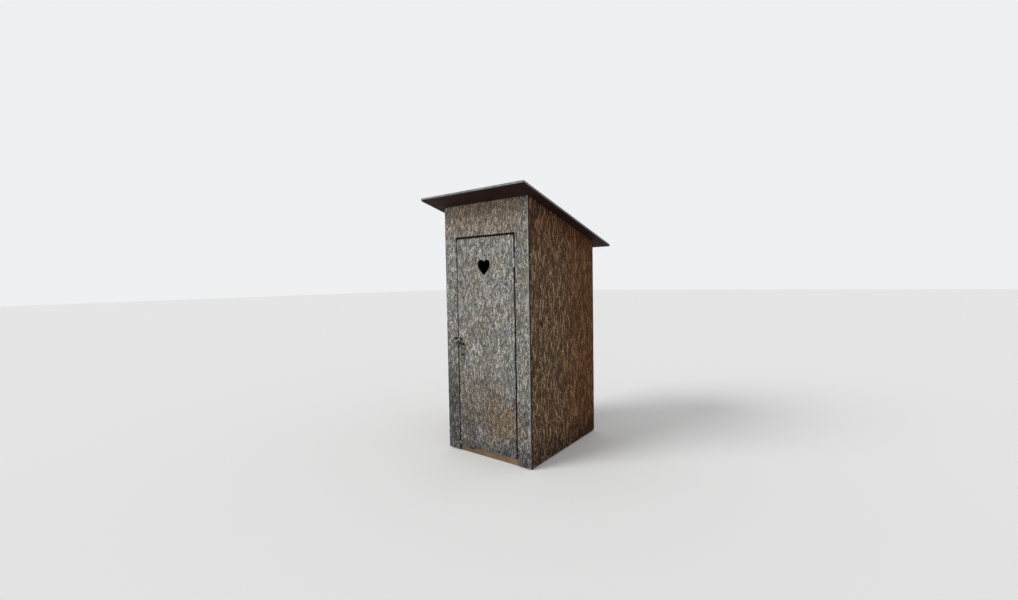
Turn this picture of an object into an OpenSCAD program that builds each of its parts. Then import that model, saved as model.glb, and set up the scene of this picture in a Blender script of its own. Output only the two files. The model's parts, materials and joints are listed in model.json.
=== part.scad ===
// Wooden outhouse of strand board on a timber frame, with a hinged door and a single-pitch roof.
// Origin: on the ground, in the middle of the roof's footprint. +X is to the right as seen from the
// front, the front with its door faces -Y, +Z is up. All sizes in millimetres.

/* [Cabin] */
// Width over the side walls
cabin_w = 950; // [850:10:1150]
// Depth over the front and back walls
cabin_d = 1200; // [1000:10:1500]
// Height of the front wall's outer face, from the ground to the roof's underside
front_h = 2300; // [2250:10:2450]
// Height of the back wall's outer face, from the ground to the roof's underside
back_h = 2000; // [1900:10:2150]
// Thickness of the strand-board sheets
sheet_t = 15; // [12:1:18]
// Height of the sheets' lower edges above the ground
sheet_clear = 10; // [5:1:20]
// Open joint between a side sheet and the front or back sheet
corner_gap = 2; // [1:0.5:4]

/* [Frame timbers] */
// Width of the sills, seen from above
sill_w = 60; // [50:1:75]
// Height of the sills
sill_h = 56; // [50:1:70]
// Side of the square posts, jambs and lintel
post_w = 50; // [45:1:60]
// Height of the top plates at their lower side
plate_h = 50; // [40:1:60]
// Width of the rafters
rafter_w = 40; // [35:1:50]
// Height of the rafters, measured upright
rafter_h = 60; // [50:1:80]
// Thickness of the floor sheet
floor_t = 18; // [15:1:22]
// Width of the floor joists
joist_w = 63; // [50:1:75]
// Distance of the outer joists from the floor's front and back edges
joist_inset = 80; // [60:5:120]

/* [Roof] */
// Overhang of the roof past the front and back walls
overhang_ends = 200; // [150:10:260]
// Overhang of the roof past the side walls
overhang_sides = 100; // [60:5:150]
// Thickness of the roof deck, measured upright
deck_t = 18; // [15:1:22]
// Thickness of the roofing felt
felt_t = 4; // [3:0.5:6]
// Thickness of the metal drip edge
drip_t = 1.5; // [1:0.1:2]
// Height of the drip edge's upright leg below the top of the felt
drip_leg = 14; // [10:1:17]
// Width of the drip edge's flange on the felt
drip_flange = 30; // [20:1:40]

/* [Doorway] */
// Width of the wall strip beside the doorway, on each side
stile_w = 140; // [125:5:160]
// Height of the front wall above the doorway, at its outer face
header_h = 290; // [230:2:340]

/* [Door] */
// Gap between the door and the doorway on the latch side
gap_latch = 7; // [7:0.5:9]
// Gap between the door and the doorway on the hinge side
gap_hinge = 12; // [11:0.5:14]
// Gap above the door
gap_top = 18; // [8:1:20]
// Gap between the door and the sill
gap_bottom = 6; // [5:0.5:10]
// Width of the upright battens behind the door panel
batten_w = 60; // [50:1:75]
// Thickness of the battens and ledgers
batten_t = 22; // [18:1:25]
// Height of the ledgers across the back of the door
ledger_h = 90; // [70:5:110]
// Distance of the outer ledgers from the door's upper and lower edges
ledger_inset = 50; // [30:5:55]
// Overlap of the door stops behind the door
stop_lap = 8; // [6:1:12]
// Depth of the door stops
stop_d = 25; // [20:1:30]
// Clearance between the closed door and its stops
stop_clear = 5; // [5:0.5:8]

/* [Heart cut-out] */
// Width of the heart
heart_w = 137; // [126:1:140]
// Height of the heart
heart_h = 142; // [134:1:152]
// Radius of the heart's two lobes
heart_lobe_r = 36; // [35.5:0.5:38]
// Distance of the heart's tip below the door's upper edge
heart_drop = 341; // [325:1:400]
// Distance of the heart's middle line from the door's, towards the latch
heart_shift = 4; // [0:1:10]

/* [Handle] */
// Distance of the handle from the door's latch edge
handle_inset = 62; // [50:1:80]
// Height of the handle's middle above the ground
handle_z = 970; // [900:5:980]
// Distance between the handle's two feet
handle_span = 100; // [85:1:110]
// Distance from the door's face to the middle of the handle's rod
handle_reach = 32; // [28:1:40]
// Diameter of the handle's rod
handle_rod_d = 8; // [7:0.5:10]
// Radius of the handle's bends, at the middle of the rod
handle_bend_r = 12; // [10:0.5:16]
// Diameter of the handle's round feet
handle_foot_d = 24; // [20:1:28]
// Thickness of the handle's round feet
handle_foot_t = 3; // [2:0.5:4]

/* [Lock] */
// Height of the lock eyes' holes above the ground
lock_z = 1066; // [1060:1:1090]
// Width of an eye's plate
eye_plate_w = 42; // [36:1:48]
// Height of an eye's plate
eye_plate_h = 22; // [20:1:28]
// Thickness of an eye's plate
eye_plate_t = 2; // [1.5:0.1:2.5]
// Thickness of an eye's lug
lug_t = 2.5; // [2:0.1:3]
// Radius of an eye's round lug end
lug_r = 9; // [8:0.5:10]
// Diameter of the hole in a lug
lug_hole_d = 9; // [8:0.5:10]
// Distance from the wall's face to the middle of a lug's hole
lug_reach = 15; // [14:0.5:18]
// Distance of each lug's middle from the edge that it sits beside
lug_inset = 5.5; // [5:0.5:7]
// Width of the padlock's body
padlock_w = 42; // [38:1:44]
// Height of the padlock's body
padlock_h = 41; // [36:1:46]
// Thickness of the padlock's body
padlock_t = 18; // [14:1:18]
// Diameter of the shackle's rod
shackle_d = 6; // [5:0.5:6.5]
// Distance between the middles of the shackle's two legs
shackle_span = 28; // [26:1:29]
// Straight length of the shackle's legs above the body
shackle_neck = 4; // [3:0.5:8]
// Clearance between the padlock, which swings with the door, and the eye on the wall
swing_clear = 5.25; // [5:0.25:6]
// Depth of the shackle's legs in the body
shackle_seat = 12; // [8:1:16]
// Clearance of the shackle in the body and in the lug's hole
shackle_clear = 0.1; // [0.05:0.05:0.3]

/* [Hinges] */
// Height of a hinge
hinge_h = 76; // [60:1:90]
// Distance of each hinge's middle from the door's upper or lower edge
hinge_inset = 236; // [200:2:260]
// Width of a hinge leaf, from the pin's middle
leaf_w = 38; // [30:1:40]
// Thickness of a hinge leaf
leaf_t = 2; // [1.5:0.1:2.5]
// Distance from the door's face to the middle of the hinge pin
pin_reach = 7; // [7:0.5:9]
// Diameter of the hinge pin
pin_d = 6; // [5:0.5:6.5]
// Clearance round the hinge pin
pin_clear = 0.05; // [0.02:0.01:0.1]
// Diameter of the pin's head
pin_head_d = 9; // [8:0.5:10]
// Thickness of the pin's head
pin_head_t = 2; // [1.5:0.5:3]
// Gap between neighbouring knuckles
knuckle_gap = 0.5; // [0.4:0.1:0.8]

/* [Hidden] */
$fn = 64;
// Helps cutters run past the faces that they cut
past = 1;

half_w = cabin_w / 2;
half_d = cabin_d / 2;
pitch = (front_h - back_h) / cabin_d;
inner_y = half_d - sheet_t;
roof_x = half_w + overhang_sides;
roof_y = half_d + overhang_ends;
inner_x = half_w - sheet_t;

doorway_x = half_w - stile_w;
doorway_top = front_h - header_h;
door_left = -doorway_x + gap_latch;
door_right = doorway_x - gap_hinge;
door_bottom = sill_h + gap_bottom;
door_top = doorway_top - gap_top;
door_mid_x = (door_left + door_right) / 2;
door_mid_z = (door_bottom + door_top) / 2;
heart_tip_z = door_top - heart_drop;
door_back_y = -inner_y + batten_t;

pin_x = doorway_x - gap_hinge / 2;
pin_y = -half_d - pin_reach;
knuckle_r = gap_hinge / 2;

padlock_x = -doorway_x - lug_inset + lug_t / 2 + swing_clear + (shackle_d + shackle_span) / 2;
door_lug_x = door_left + lug_inset;
shackle_r = shackle_span / 2;
lug_y = -half_d - lug_reach;
// The shackle hangs in the door lug's hole: its inner curve rests just above the hole's lower side, at the
// lug's outer face, where the curve is lowest
shackle_z = lock_z - lug_hole_d / 2 + shackle_clear
    - sqrt(pow(shackle_r - shackle_d / 2, 2) - pow(padlock_x - door_lug_x + lug_t / 2, 2));

osb_grey = [0.50, 0.48, 0.45];
osb_brown = [0.31, 0.24, 0.18];
osb_inside = [0.62, 0.50, 0.34];
timber_gold = [0.62, 0.48, 0.30];
timber_raw = [0.68, 0.56, 0.40];
deck_dark = [0.20, 0.14, 0.10];
felt_grey = [0.24, 0.25, 0.26];
zinc_grey = [0.62, 0.63, 0.62];
rust_brown = [0.23, 0.14, 0.10];
lock_steel = [0.42, 0.44, 0.46];

// Height of the roof deck's underside at a distance y from the middle
function roof_z(y) = front_h - (y + half_d) * pitch;

// Lower side of each top plate: the rafters bear on its sloping top
front_plate_z = roof_z(-inner_y + post_w) - rafter_h - plate_h;
back_plate_z = roof_z(inner_y) - rafter_h - plate_h;

// A box from its lowest to its highest corner
module block(low, high) {
    translate(low) cube(high - low);
}

// A prism whose outline lies in the Y-Z plane and which runs along X
module along_x(x0, x1, outline) {
    translate([x0, 0, 0]) rotate([90, 0, 90]) linear_extrude(height = x1 - x0) polygon(outline);
}

// A slab that follows the roof's slope, lifted above the deck's underside
module roof_slab(x0, x1, y0, y1, lift, thick) {
    along_x(x0, x1, [
        [y0, roof_z(y0) + lift], [y1, roof_z(y1) + lift],
        [y1, roof_z(y1) + lift + thick], [y0, roof_z(y0) + lift + thick]
    ]);
}

// An upright piece whose top is cut to the roof's slope, lowered by drop
module under_roof(x0, x1, y0, y1, z0, drop) {
    along_x(x0, x1, [[y0, z0], [y1, z0], [y1, roof_z(y1) - drop], [y0, roof_z(y0) - drop]]);
}

// Base frame and floor
module sill_front() {
    color(timber_gold) block([-inner_x, -inner_y, 0], [inner_x, -inner_y + sill_w, sill_h]);
}

module sill_back() {
    color(timber_gold) block([-inner_x, inner_y - sill_w, 0], [inner_x, inner_y, sill_h]);
}

module side_sill(x0) {
    color(timber_gold)
        block([x0, -inner_y + sill_w, 0], [x0 + sill_w, inner_y - sill_w, sill_h]);
}

module sill_left() {
    side_sill(-inner_x);
}

module sill_right() {
    side_sill(inner_x - sill_w);
}

module floor_joists() {
    floor_end = inner_y - sill_w;
    for (y = [-floor_end + joist_inset, 0, floor_end - joist_inset])
        color(timber_raw) block(
            [-inner_x + sill_w, y - joist_w / 2, 0],
            [inner_x - sill_w, y + joist_w / 2, sill_h - floor_t]
        );
}

module floor_panel() {
    color(osb_inside) block(
        [-inner_x + sill_w, -inner_y + sill_w, sill_h - floor_t],
        [inner_x - sill_w, inner_y - sill_w, sill_h]
    );
}

// Posts, jambs and the timbers that they carry
module post(x0, y0, top) {
    color(timber_raw) block([x0, y0, sill_h], [x0 + post_w, y0 + post_w, top]);
}

module post_front_left() {
    post(-inner_x, -inner_y, front_plate_z);
}

module post_front_right() {
    post(inner_x - post_w, -inner_y, front_plate_z);
}

module post_back_left() {
    post(-inner_x, inner_y - post_w, back_plate_z);
}

module post_back_right() {
    post(inner_x - post_w, inner_y - post_w, back_plate_z);
}

module jamb_left() {
    post(-doorway_x - post_w, -inner_y, front_plate_z);
}

module jamb_right() {
    post(doorway_x, -inner_y, front_plate_z);
}

module lintel() {
    color(timber_raw) block(
        [-doorway_x, -inner_y, doorway_top],
        [doorway_x, -inner_y + post_w, doorway_top + post_w]
    );
}

module plate_front() {
    color(timber_raw)
        under_roof(-inner_x, inner_x, -inner_y, -inner_y + post_w, front_plate_z, rafter_h);
}

module plate_back() {
    color(timber_raw)
        under_roof(-inner_x, inner_x, inner_y - post_w, inner_y, back_plate_z, rafter_h);
}

module rafter(x0) {
    color(timber_raw) roof_slab(x0, x0 + rafter_w, -inner_y, inner_y, -rafter_h, rafter_h);
}

module rafter_left() {
    rafter(-inner_x);
}

module rafter_middle() {
    rafter(-rafter_w / 2);
}

module rafter_right() {
    rafter(inner_x - rafter_w);
}

// Wall sheets
module front_left_panel() {
    color(osb_grey) under_roof(-half_w, -doorway_x, -half_d, -inner_y, sheet_clear, 0);
}

module front_right_panel() {
    color(osb_grey) under_roof(doorway_x, half_w, -half_d, -inner_y, sheet_clear, 0);
}

module front_header_panel() {
    color(osb_grey) under_roof(-doorway_x, doorway_x, -half_d, -inner_y, doorway_top, 0);
}

module side_wall(x0) {
    color(osb_brown) under_roof(
        x0, x0 + sheet_t, -inner_y + corner_gap, inner_y - corner_gap, sheet_clear, 0
    );
}

module left_wall() {
    side_wall(-half_w);
}

module right_wall() {
    side_wall(inner_x);
}

module back_wall() {
    color(osb_brown) under_roof(-half_w, half_w, inner_y, half_d, sheet_clear, 0);
}

// Roof
module roof_deck() {
    color(deck_dark) roof_slab(-roof_x, roof_x, -roof_y, roof_y, 0, deck_t);
}

module roof_felt() {
    color(felt_grey) roof_slab(-roof_x, roof_x, -roof_y, roof_y, deck_t, felt_t);
}

// Drip edge along the front or the back: side is -1 at the front and 1 at the back
module end_drip(side) {
    lift = deck_t + felt_t;
    outer = side * (roof_y + drip_t);
    edge = side * roof_y;
    inner = side * (roof_y - drip_flange);
    color(zinc_grey) along_x(-roof_x - drip_t, roof_x + drip_t, [
        [outer, roof_z(outer) + lift + drip_t], [inner, roof_z(inner) + lift + drip_t],
        [inner, roof_z(inner) + lift], [edge, roof_z(edge) + lift],
        [edge, roof_z(edge) + lift - drip_leg], [outer, roof_z(edge) + lift - drip_leg]
    ]);
}

module drip_edge_front() {
    end_drip(-1);
}

module drip_edge_back() {
    end_drip(1);
}

// Drip edge along a side: side is -1 on the left and 1 on the right
module side_drip(side) {
    lift = deck_t + felt_t;
    flange_y = roof_y - drip_flange;
    outer = side * (roof_x + drip_t);
    edge = side * roof_x;
    inner = side * (roof_x - drip_flange);
    color(zinc_grey) union() {
        roof_slab(min(outer, inner), max(outer, inner), -flange_y, flange_y, lift, drip_t);
        roof_slab(min(outer, edge), max(outer, edge), -roof_y, roof_y, lift - drip_leg, drip_leg);
    }
}

module drip_edge_left() {
    side_drip(-1);
}

module drip_edge_right() {
    side_drip(1);
}

// Strips that the door closes against, on the latch side and above
module door_stops() {
    y0 = door_back_y + stop_clear;
    head_z = door_top - stop_lap;
    color(timber_raw) union() {
        block([-doorway_x, y0, sill_h], [door_left + stop_lap, y0 + stop_d, doorway_top]);
        block([-doorway_x, y0, head_z], [doorway_x, y0 + stop_d, doorway_top]);
    }
}

// Door
// Points of an arc about a centre, from angle a0 to angle a1
function arc(centre, r, a0, a1, steps) =
    [for (i = [0 : steps]) let (a = a0 + (a1 - a0) * i / steps) centre + r * [cos(a), sin(a)]];

// The heart's right half, from its square tip up a long side arc and round the lobe to the cleft
function heart_half(half, lobe_r, lobe_z) =
    let (
        side_r = (lobe_z - half) / (sqrt(2) - 1),
        lobe_x = half - lobe_r,
        cleft = 180 - acos(lobe_x / lobe_r)
    )
    concat(
        [[0, 0]],
        arc([half - side_r, lobe_z], side_r, -45, 0, 10),
        [for (p = arc([lobe_x, lobe_z], lobe_r, 0, cleft, 20)) if (p[1] > lobe_z) p]
    );

module heart_outline() {
    half = heart_half(heart_w / 2, heart_lobe_r, heart_h - heart_lobe_r);
    last = len(half) - 1;
    polygon(concat(half, [for (i = [last - 1 : -1 : 1]) [-half[i][0], half[i][1]]]));
}

module door_panel() {
    color(osb_grey) difference() {
        block([door_left, -half_d, door_bottom], [door_right, -inner_y, door_top]);
        translate([door_mid_x - heart_shift, -inner_y + past, heart_tip_z]) rotate([90, 0, 0])
            linear_extrude(height = sheet_t + 2 * past) heart_outline();
    }
}

module batten(x0) {
    color(timber_raw)
        block([x0, -inner_y, door_bottom], [x0 + batten_w, door_back_y, door_top]);
}

module door_batten_hinge() {
    batten(door_right - batten_w);
}

module door_batten_latch() {
    batten(door_left);
}

module ledger(z0) {
    color(timber_raw) block(
        [door_left + batten_w, -inner_y, z0],
        [door_right - batten_w, door_back_y, z0 + ledger_h]
    );
}

module door_ledger_top() {
    ledger(door_top - ledger_inset - ledger_h);
}

module door_ledger_middle() {
    ledger(door_mid_z - ledger_h / 2);
}

module door_ledger_bottom() {
    ledger(door_bottom + ledger_inset);
}

// Pull handle: a rod bent to a bow, on two round feet
module handle_half() {
    rod_r = handle_rod_d / 2;
    straight = handle_reach - handle_bend_r;
    translate([0, 0, handle_span / 2]) {
        rotate([90, 0, 0]) cylinder(h = straight, r = rod_r);
        rotate([90, 0, 0]) cylinder(h = handle_foot_t, r = handle_foot_d / 2);
        translate([0, -straight, -handle_bend_r]) rotate([0, -90, 0]) rotate_extrude(angle = -90)
            translate([handle_bend_r, 0]) circle(r = rod_r);
    }
    translate([0, -handle_reach, 0]) cylinder(h = handle_span / 2 - handle_bend_r, r = rod_r);
}

module door_handle() {
    color(rust_brown) translate([door_left + handle_inset, -half_d, handle_z]) union() {
        handle_half();
        mirror([0, 0, 1]) handle_half();
    }
}

// Lock eye: a plate on the face, with a drilled lug at its inner end; side is the plate's direction
module lock_eye(lug_x, side) {
    plate_start = lug_x - side * lug_t / 2;
    plate_end = plate_start + side * eye_plate_w;
    color(rust_brown) difference() {
        union() {
            block(
                [min(plate_start, plate_end), -half_d - eye_plate_t, lock_z - eye_plate_h / 2],
                [max(plate_start, plate_end), -half_d, lock_z + eye_plate_h / 2]
            );
            block([lug_x - lug_t / 2, lug_y, lock_z - lug_r], [lug_x + lug_t / 2, -half_d, lock_z + lug_r]);
            translate([lug_x - lug_t / 2, lug_y, lock_z]) rotate([0, 90, 0])
                cylinder(h = lug_t, r = lug_r);
        }
        translate([lug_x - lug_t / 2 - past, lug_y, lock_z]) rotate([0, 90, 0])
            cylinder(h = lug_t + 2 * past, r = lug_hole_d / 2);
    }
}

module stile_eye() {
    lock_eye(-doorway_x - lug_inset, -1);
}

module door_eye() {
    lock_eye(door_lug_x, 1);
}

// Padlock, hanging from the door's eye
module padlock_body() {
    body_top = shackle_z - shackle_neck;
    round_r = padlock_w / 2;
    color(lock_steel) difference() {
        translate([padlock_x, lug_y + padlock_t / 2, body_top]) rotate([90, 0, 0])
            linear_extrude(height = padlock_t) union() {
                translate([-round_r, round_r - padlock_h]) square([padlock_w, padlock_h - round_r]);
                intersection() {
                    translate([0, round_r - padlock_h]) circle(r = round_r);
                    translate([-round_r, -padlock_h]) square([padlock_w, round_r]);
                }
            }
        for (side = [-1, 1])
            translate([padlock_x + side * shackle_r, lug_y, body_top - shackle_seat])
                cylinder(h = shackle_seat + past, r = shackle_d / 2 + shackle_clear);
    }
}

module padlock_shackle() {
    leg = shackle_neck + shackle_seat;
    color(zinc_grey) translate([padlock_x, lug_y, shackle_z]) union() {
        rotate([90, 0, 0]) rotate_extrude(angle = 180)
            translate([shackle_r, 0]) circle(r = shackle_d / 2);
        for (side = [-1, 1])
            translate([side * shackle_r, 0, -leg]) cylinder(h = leg, r = shackle_d / 2);
    }
}

// Butt hinges: three knuckles each, the middle one on the door's leaf
hinge_zs = [door_bottom + hinge_inset, door_top - hinge_inset];
knuckle_h = (hinge_h - 2 * knuckle_gap) / 3;

// Lower ends of the knuckles, counted from the hinge's lower end
function knuckle_z(i) = i * (knuckle_h + knuckle_gap);

module hinge_leaf(x0, own, other) {
    difference() {
        union() {
            block([x0, pin_y, 0], [x0 + leaf_t, pin_y + leaf_w, hinge_h]);
            for (i = own)
                translate([pin_x, pin_y, knuckle_z(i)]) cylinder(h = knuckle_h, r = knuckle_r);
        }
        for (i = other)
            translate([pin_x, pin_y, knuckle_z(i) - knuckle_gap])
                cylinder(h = knuckle_h + 2 * knuckle_gap, r = knuckle_r + knuckle_gap);
        translate([pin_x, pin_y, -past]) cylinder(h = hinge_h + 2 * past, r = pin_d / 2 + pin_clear);
    }
}

module hinge_frame_leaves() {
    for (z = hinge_zs)
        color(rust_brown) translate([0, 0, z - hinge_h / 2]) hinge_leaf(doorway_x - leaf_t, [0, 2], [1]);
}

module hinge_door_leaves() {
    for (z = hinge_zs)
        color(rust_brown) translate([0, 0, z - hinge_h / 2]) hinge_leaf(door_right, [1], [0, 2]);
}

module hinge_pins() {
    for (z = hinge_zs)
        color(rust_brown) translate([pin_x, pin_y, z - hinge_h / 2]) union() {
            cylinder(h = hinge_h, r = pin_d / 2);
            translate([0, 0, hinge_h]) cylinder(h = pin_head_t, r = pin_head_d / 2);
        }
}

sill_front();
sill_back();
sill_left();
sill_right();
floor_joists();
floor_panel();
post_front_left();
post_front_right();
post_back_left();
post_back_right();
jamb_left();
jamb_right();
lintel();
plate_front();
plate_back();
rafter_left();
rafter_middle();
rafter_right();
front_left_panel();
front_right_panel();
front_header_panel();
left_wall();
right_wall();
back_wall();
roof_deck();
roof_felt();
drip_edge_front();
drip_edge_back();
drip_edge_left();
drip_edge_right();
door_stops();
stile_eye();
hinge_frame_leaves();
hinge_pins();
door_panel();
door_batten_hinge();
door_batten_latch();
door_ledger_top();
door_ledger_middle();
door_ledger_bottom();
door_handle();
door_eye();
padlock_body();
padlock_shackle();
hinge_door_leaves();
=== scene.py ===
"""Weathered strand-board outhouse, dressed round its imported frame. Lengths are in metres."""
import json
import math
from types import SimpleNamespace

import bmesh
import bpy
from mathutils import Matrix, Vector, noise

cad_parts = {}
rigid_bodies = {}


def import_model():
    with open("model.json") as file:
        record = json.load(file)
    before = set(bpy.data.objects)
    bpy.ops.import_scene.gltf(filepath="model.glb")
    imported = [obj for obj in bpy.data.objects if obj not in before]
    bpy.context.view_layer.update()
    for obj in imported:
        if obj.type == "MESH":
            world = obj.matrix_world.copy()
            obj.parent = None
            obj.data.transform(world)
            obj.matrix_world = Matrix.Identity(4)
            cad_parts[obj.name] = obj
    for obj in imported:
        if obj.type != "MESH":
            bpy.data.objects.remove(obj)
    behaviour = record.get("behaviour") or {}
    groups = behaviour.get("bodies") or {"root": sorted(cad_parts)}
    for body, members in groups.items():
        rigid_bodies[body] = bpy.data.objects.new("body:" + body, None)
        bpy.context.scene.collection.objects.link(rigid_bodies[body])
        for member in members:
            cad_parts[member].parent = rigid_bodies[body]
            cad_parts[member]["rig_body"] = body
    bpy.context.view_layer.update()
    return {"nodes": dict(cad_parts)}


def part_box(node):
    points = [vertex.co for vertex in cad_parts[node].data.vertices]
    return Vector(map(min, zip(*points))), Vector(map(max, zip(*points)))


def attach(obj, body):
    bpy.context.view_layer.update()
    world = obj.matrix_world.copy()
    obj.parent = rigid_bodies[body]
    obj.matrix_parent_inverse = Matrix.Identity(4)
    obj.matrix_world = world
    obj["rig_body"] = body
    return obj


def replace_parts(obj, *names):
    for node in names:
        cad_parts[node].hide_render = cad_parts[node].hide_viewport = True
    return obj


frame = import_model()
nodes = frame["nodes"]
CABIN, DOOR = "cabin", "door"

# Photograph's camera, with its angles in degrees
LENS_MM, SENSOR_MM = 15.461, 36.0
EYE = (2.4954, -3.6042, 1.5994)
EYE_TURN, EYE_TILT, EYE_ROLL = 36.558, -2.488, -0.946

# Roof: plumb depths of its layers, its metal edge, and the number, gaps and chamfers of its boards
DECK_T, FELT_T, LAP_T = 0.018, 0.004, 0.0026
DRIP_FLANGE, DRIP_T = 0.030, 0.0015
DECK_BOARDS, BOARD_GAP, BOARD_CHAMFER = 14, 0.0012, 0.003

# Worn corners of timbers, and chips along the cut edges of sheets
EASE = 0.0018
FRAY_STEP, FRAY_DEPTH = 0.020, 0.0016
FRAY_AT_FOOT, FOOT_HEIGHT = 2.2, 0.16

# Raised strands: usual size, share of a face that they cover, and how they lie on it
STRAND_WIDTH, STRAND_LENGTH, STRAND_COVER = 0.0066, 0.066, 0.55
STRAND_THICKNESS, STRAND_SUNK, STRAND_TILT = 0.0009, 0.0004, 0.006
HEART_CLEARANCE = 0.012
# A sheet's strands: width and length against the usual ones, and how far they turn either way, in radians
FRONT_STRANDS, FRONT_SPREAD = (0.68, 0.90), 1.50
WALL_STRANDS, WALL_SPREAD = (1.00, 1.70), 0.65

# Screws and nails
SHEET_SCREW = dict(Head=0.0085, Thickness=0.0022, Sink=0.0012, Slot_Length=0.0048, Slot_Width=0.0011)
EYE_SCREW = dict(Head=0.0070, Thickness=0.0018, Sink=0.0005, Slot_Length=0.0042, Slot_Width=0.0011)
HANDLE_SCREW = dict(Head=0.0046, Thickness=0.0014, Sink=0.0004, Slot_Length=0.0028, Slot_Width=0.0008)
NAIL = dict(Head=0.010, Thickness=0.0014)
# Rows of screws that climb a sheet: across, height of the first screw, spacing; none is too near the top
SCREW_MARGIN = 0.05
JAMB_SCREWS = (0.360, 0.098, 0.460)
POST_SCREWS = (0.435, 0.311, 0.514)
BATTEN_SCREWS = (0.2915, 0.114, 0.372)
SIDE_SCREWS = (0.560, 0.140, 0.475)
HANDLE_SCREWS_X, HANDLE_SCREWS_Z = (-0.2735, -0.2585), (0.920, 1.020)
LOCK_Z = 1.066
# Nails of the roof's metal edge and of the felt's joint, measured from the hut's middle
EDGE_NAILS_X, EDGE_NAILS_Y, EDGE_NAIL_SPACING = 0.558, 0.785, 0.17
LAP_NAILS_Y, LAP_NAIL_SPACING = 0.035, 0.10

# Where the upper strip of felt ends, and the steps that its lower edge is drawn in
LAP_END, LAP_STEPS = 0.06, 72

# Light: the sun's place, strength and spread in degrees, and the sky as it shines and as it is seen
WHITE = (1.0, 1.0, 1.0, 1.0)
SUN_PLACE, SUN_STRENGTH, SUN_SPREAD = (-0.45, -0.70, 0.60), 1.85, 28
SKY_STRENGTH, SKY_SEEN = 0.62, (0.86, 0.87, 0.88, 1.0)
# Grey of the floor, and how far it reaches each way
FLOOR_GREY, FLOOR_REACH = 0.80, 60.0

# Places read from the frame
door_low, door_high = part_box("door_panel")
left_strip_low, left_strip_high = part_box("front_left_panel")
right_strip_low, right_strip_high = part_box("front_right_panel")
header_low, header_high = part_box("front_header_panel")
wall_low, wall_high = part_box("right_wall")
back_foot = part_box("back_wall")[0].z
deck_low, deck_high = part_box("roof_deck")
front_y = door_low.y
half_w = right_strip_high.x
half_d = -front_y
doorway_x = right_strip_low.x
doorway_top = header_low.z
pitch = (deck_high.z - DECK_T - deck_low.z) / (deck_high.y - deck_low.y)
slope_length = math.hypot(1.0, pitch)


def roof_z(y):
    """Height of the roof deck's underside at a distance y from the middle."""
    return header_high.z - (y + half_d) * pitch


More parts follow.
